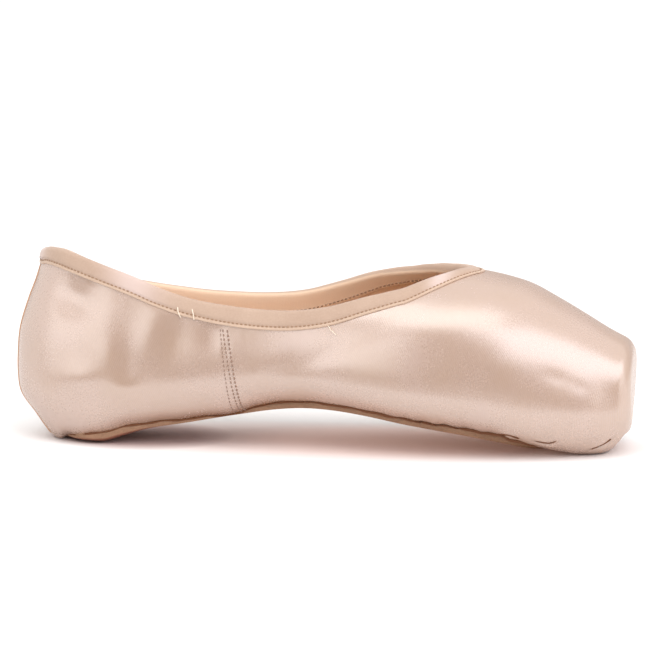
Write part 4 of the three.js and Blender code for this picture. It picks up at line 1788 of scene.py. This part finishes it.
@dataclass
class Soles:
    """The leather outsole and the sock inside."""

    upper: Upper
    clearance: float = 0.3
    touch: float = 0.12
    bevel: float = 2.3
    sock_lap: float = 2.0
    sock_thickness: float = 1.4
    sock_lift: float = 0.2
    slope_step: float = 0.5
    skived: Stretch = Stretch(42, 72)
    fuller_edge: float = 0.3
    rounding: float = 0.25
    lower_face: tuple[tuple[float, float], ...] = (
        (0, 0.0),
        (0.25, 0.0),
        (0.5, 0.0),
        (0.75, 0.05),
        (0.92, 0.11),
        (1, 0.15),
    )
    edge_levels: tuple[float, ...] = (0.25, 0.33, 0.88, 1.0)
    upper_face: tuple[float, ...] = (1, 0.75, 0.5, 0.25, 0)
    # Tint by ring: the bevel underneath has its own darker colour; the last ring, the top of the edge, is
    # painted shade of the gap.
    bevel_and_gap_shade: tuple[float, ...] = (0, 0, 0, 0.3, 0.8, 1, 1, 0.1, 0, 0.5)
    sock_shares: tuple[float, ...] = (0, 0.2, 0.45, 0.65, 0.8, 0.92, 1)
    sock_edge_share: float = 0.99

    def top(self, x: Array, y: Array) -> Array:
        """Height of the outsole's upper face, cupped to the satin at its edge."""
        return self.upper.last.base_height(x, y) - self.touch

    def under(self, x: Array) -> Array:
        """Height of the outsole's lower face."""
        bottom = self.upper.last.bottom.read(x)
        return np.maximum(0, bottom["base"] - self.clearance - bottom["sole"])

    def level(self, share: float) -> Callable[[Array, Array], Array]:
        """A height at a share of the outsole's thickness, by place in plan.

        Args:
            share: the share at the heel. In front of it, shares under a half are smaller.

        Returns:
            The height as a function of the place.
        """

        def height(x: Array, y: Array) -> Array:
            here = share
            if share <= 0.5:
                here = share * (self.fuller_edge + (1 - self.fuller_edge) * self.skived.fade(x))
            return self.under(x) + (self.top(x, y) - self.under(x)) * here

        return height

    def outsole(self) -> bpy.types.Object:
        """The outsole, bevelled underneath, with its edge slightly rounded.

        Returns:
            The object.
        """
        spokes = self.upper.spokes
        reach = spokes.sole_distance(0)
        inner = spokes.sole_distance(self.bevel)
        edge = spokes.sole_distance(self.rounding)
        rim = zip((edge, reach, reach, edge), self.edge_levels)
        steps = [(inner, share, level) for share, level in self.lower_face]
        steps += [(outline, 1, level) for outline, level in rim]
        steps += [(inner, share, 1.0) for share in self.upper_face]
        rings = np.stack([spokes.plan_ring(r, s, self.level(h)) for r, s, h in steps])
        rings = rings + self.upper.shift
        tint = np.zeros(len(steps))
        # The bevel's own colour underneath, and painted shade of the gap along the top of the edge.
        tint[: len(self.bevel_and_gap_shade)] = self.bevel_and_gap_shade
        return Pieces.grid("leather_outsole", rings, Upper.measure(rings), False, tint)

    def sock_base(self, x: Array, y: Array) -> Array:
        """Height of the sock's lower face, clear of the turned-in edge.

        Args:
            x: station.
            y: distance to the side.

        Returns:
            The height.
        """
        last, step = self.upper.last, self.slope_step
        along = (last.base_height(x + step, y) - last.base_height(x - step, y)) / (2 * step)
        across = (last.base_height(x, y + step) - last.base_height(x, y - step)) / (2 * step)
        slant = np.sqrt(1 + along**2 + across**2)
        wall = self.upper.wall(np.stack([x + self.upper.shift[0], y, y], axis=-1))
        return last.base_height(x, y) + (wall + self.clearance) * slant + self.sock_lift

    def sock(self) -> bpy.types.Object:
        """The thin sock, dished to the last's bottom.

        Returns:
            The object.
        """
        spokes = self.upper.spokes
        reach = spokes.sole_distance(0) + self.sock_lap
        low = [spokes.plan_ring(reach, s, self.sock_base) for s in self.sock_shares]
        high = [
            spokes.plan_ring(reach, s, lambda x, y: self.sock_base(x, y) + self.sock_thickness)
            for s in (self.sock_edge_share, *reversed(self.sock_shares[:-1]))
        ]
        rings = np.stack(low + high) + self.upper.shift
        return Pieces.grid("sock_lining", rings, Upper.measure(rings), False)


@dataclass(frozen=True)
class Softbox:
    """A rectangular studio light that points at the shoe."""

    name: str
    place: tuple[float, float, float]
    width: float
    height: float
    power: float
    colour: Colour = (1.0, 1.0, 1.0)

    def add(self) -> None:
        """Adds the light to the scene."""
        light = bpy.data.lights.new(self.name, "AREA")
        light.shape = "RECTANGLE"
        light.size = self.width
        light.size_y = self.height
        light.energy = self.power
        light.color = self.colour
        lamp = bpy.data.objects.new(self.name, light)
        lamp.location = self.place
        aim = Vector((0, 0, LIT_HEIGHT)) - Vector(self.place)
        lamp.rotation_euler = aim.to_track_quat("-Z", "Y").to_euler()
        bpy.context.collection.objects.link(lamp)


@dataclass(frozen=True)
class Card:
    """An evenly lit card that only gloss sees, so that the satin's sides keep their shape."""

    name: str
    place: tuple[float, float, float]
    width: float
    height: float
    facing: tuple[float, float, float]
    tone: float

    def add(self) -> None:
        """Adds the card to the scene."""
        bpy.ops.object.select_all(action="DESELECT")
        bpy.ops.mesh.primitive_plane_add(size=1)
        card = bpy.context.object
        card.name = self.name
        card.scale = (self.width, self.height, 1)
        bpy.ops.object.transform_apply(location=False, rotation=False, scale=True)
        card.location = self.place
        card.rotation_euler = Vector(self.facing).to_track_quat("Z", "Y").to_euler()
        shader = Shader(self.name)
        shader.set(
            Base_Color=BLACK,
            Specular_IOR_Level=0.0,
            Emission_Color=(self.tone, self.tone, self.tone),
            Emission_Strength=1.0,
        )
        shader.material.cycles.emission_sampling = "NONE"
        card.data.materials.append(shader.material)
        for rays in ("camera", "diffuse", "shadow", "transmission", "volume_scatter"):
            setattr(card, f"visible_{rays}", False)


@dataclass(frozen=True)
class Spot:
    """A soft oval of painted shadow or light on the floor under the shoe, in metres along and across it."""

    middle: float
    half_length: float
    half_width: float
    colour: Colour

    def mask(self, shader: Shader) -> Value:
        """Marks the oval on the floor.

        Args:
            shader: the floor's shader.

        Returns:
            1 inside the oval and 0 outside, with a soft edge.
        """
        x, y = shader.place("Object", 0, 1)
        x = (x - self.middle) * (1 / self.half_length)
        y = y * (1 / self.half_width)
        return (1 - (x * x + y * y)).between(-0.5, 0.5)


@dataclass
class Studio:
    """A pale floor, pale surroundings, soft lights and the camera."""

    azimuth_deg: float = 8.0
    elevation_deg: float = 10.0
    distance: float = 1.8
    target: tuple[float, float, float] = (0.0, 0.0, 0.035)
    right: float = 0.00032
    rise: float = 0.00927
    lens: float = 261.0
    sensor: float = 36.0
    floor_size: float = 12.0
    zenith: float = 1.12
    horizon: float = 0.66
    full_height: float = 0.6
    lights: tuple[Softbox, ...] = (
        Softbox("overhead", (-0.1, -0.61, 1.37), 1.3, 0.9, 7.0, (1.0, 0.98, 0.955)),
        Softbox("toe_side", (1.0, -0.84, 0.92), 1.7, 0.9, 9.7, (0.95, 0.935, 1.0)),
    )
    cards: tuple[Card, ...] = (
        Card("floor_card", (0.2, -0.82, 0.0004), 2.8, 1.36, (0, 0, 1), 0.06),
        Card("front_card", (0.1, -1.5, 0.65), 0.96, 1.3, (0, 1, 0), 0.03),
        Card("front_low_card", (1.15, -1.5, 0.22), 1.2, 0.44, (0, 1, 0), 0.03),
        Card("toe_low_card", (1.75, -0.7, 0.25), 1.3, 0.5, (-1, 0.4, 0), 1.7),
        Card("back_card", (0.0, 1.5, 0.6), 5.0, 1.2, (0, -1, 0), 0.6),
        Card("left_card", (-1.5, 0.1, 0.35), 2.6, 0.9, (1, -0.1, 0), 1.25),
        Card("heel_card", (-1.1, -1.15, 0.45), 1.7, 1.0, (1, 1, -0.2), 2.0),
    )
    floor_drop: float = 0.0002
    view_end: float = 50.0
    white: Colour = (0.94, 0.935, 0.935)
    air: Colour = (1.0, 0.995, 0.99)
    # Painted shadow on the floor: a reddish one under the whole shoe and a darker one under the heel.
    painted_shadows: tuple[Spot, ...] = (
        Spot(0.012, 0.098, 0.031, (0.92, 0.80, 0.765)),
        Spot(-0.072, 0.03, 0.024, (0.60, 0.46, 0.44)),
    )
    # Painted bounce light: the floor emits a little reddish light under the middle of the shoe.
    painted_bounce_light: Spot = Spot(0.035, 0.06, 0.03, (0.10, 0.055, 0.04))

    def camera(self) -> None:
        """Adds the camera at the photo's angle."""
        a, e = math.radians(self.azimuth_deg), math.radians(self.elevation_deg)
        back = Vector((math.sin(a) * math.cos(e), -math.cos(a) * math.cos(e), math.sin(e)))
        right = Vector((math.cos(a), math.sin(a), 0))
        aim = Vector(self.target) + right * self.right + back.cross(right) * self.rise
        lens = bpy.data.cameras.new("camera")
        lens.lens = self.lens
        lens.sensor_width = self.sensor
        lens.clip_end = self.view_end
        seen = bpy.data.objects.new("camera", lens)
        seen.location = aim + back * self.distance
        seen.rotation_euler = (-back).to_track_quat("-Z", "Y").to_euler()
        bpy.context.collection.objects.link(seen)
        bpy.context.scene.camera = seen

    def floor(self) -> None:
        """Adds the floor, plain and pale, with painted shadow and painted bounce light under the shoe."""
        bpy.ops.object.select_all(action="DESELECT")
        level = (0, 0, -self.floor_drop)
        bpy.ops.mesh.primitive_plane_add(size=self.floor_size, location=level)
        floor = bpy.context.object
        floor.name = "studio_floor"
        shader = Shader("white_floor")
        shade: Value | Colour = self.white
        for spot in self.painted_shadows:
            shade = shader.mix(spot.mask(shader), shade, spot.colour)
        shader.set(
            Base_Color=shade,
            Roughness=0.9,
            Specular_IOR_Level=0.1,
            # The floor's emission is painted bounce light.
            Emission_Color=shader.mix(self.painted_bounce_light.mask(shader), BLACK, self.painted_bounce_light.colour),
            Emission_Strength=1.0,
        )
        floor.data.materials.append(shader.material)

    def surroundings(self) -> None:
        """Sets the light from all round: bright above, dimmer towards the horizon."""
        world = bpy.data.worlds.new("studio_surroundings")
        world.use_nodes = True
        bpy.context.scene.world = world
        nodes = Nodes(world.node_tree)
        (height,) = nodes.place("Generated", 2)
        inputs = {
            "Value": height,
            "From Min": 0.0,
            "From Max": self.full_height,
            "To Min": self.horizon,
            "To Max": self.zenith,
        }
        background = world.node_tree.nodes["Background"].inputs
        nodes.feed(background["Strength"], nodes.node("ShaderNodeMapRange", {}, inputs))
        nodes.feed(background["Color"], self.air)

    def build(self) -> None:
        """Sets up the whole studio."""
        self.floor()
        self.surroundings()
        for fitting in (*self.lights, *self.cards):
            fitting.add()
        self.camera()
        bpy.context.scene.view_settings.view_transform = "Standard"


def main() -> None:
    """Builds the shoe and its studio."""
    logging.basicConfig(level=logging.INFO, format="%(name)s %(message)s")
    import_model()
    upper = Upper()
    tape = Tape(upper)
    sewing = Sewing(upper, tape)
    soles = Soles(upper)
    satin, leather = Satin().material(), SoleLeather().material()
    tape_cotton = BINDING_TAPE.material()
    cotton, tape_thread = SOCK_COTTON.material(), TAPE_THREAD.material()
    seam_thread, welt_thread = SEAM_THREAD.material(), WELT_THREAD.material()
    pale_thread, shade_strand = PALE_THREAD.material(), SHADE_STRAND.material()
    Pieces.finish(upper.satin(), satin, "satin", "upper")
    Pieces.finish(upper.lining(), cotton, "sock_lining", "upper")
    Pieces.finish(tape.tape(), tape_cotton, "binding_tape", "binding")
    Pieces.finish(soles.outsole(), leather, "sole_leather", "outsole")
    Pieces.finish(soles.sock(), cotton, "sock_lining", "insole")
    for row in sewing.side_seams():
        Pieces.finish(row, seam_thread, "satin")
    Pieces.finish(sewing.tape_rows(), tape_thread, "binding_tape")
    Pieces.finish(sewing.back_seam(), welt_thread, "satin")
    for thread in sewing.loose_threads():
        Pieces.finish(thread, pale_thread, "satin")
    # Strands of painted shade in the folds and in the gaps over the sole.
    for line in (*sewing.fold_shadows(), *sewing.sole_gap_shadows()):
        Pieces.finish(line, shade_strand, "satin")
    Studio().build()


if __name__ == "__main__":
    main()
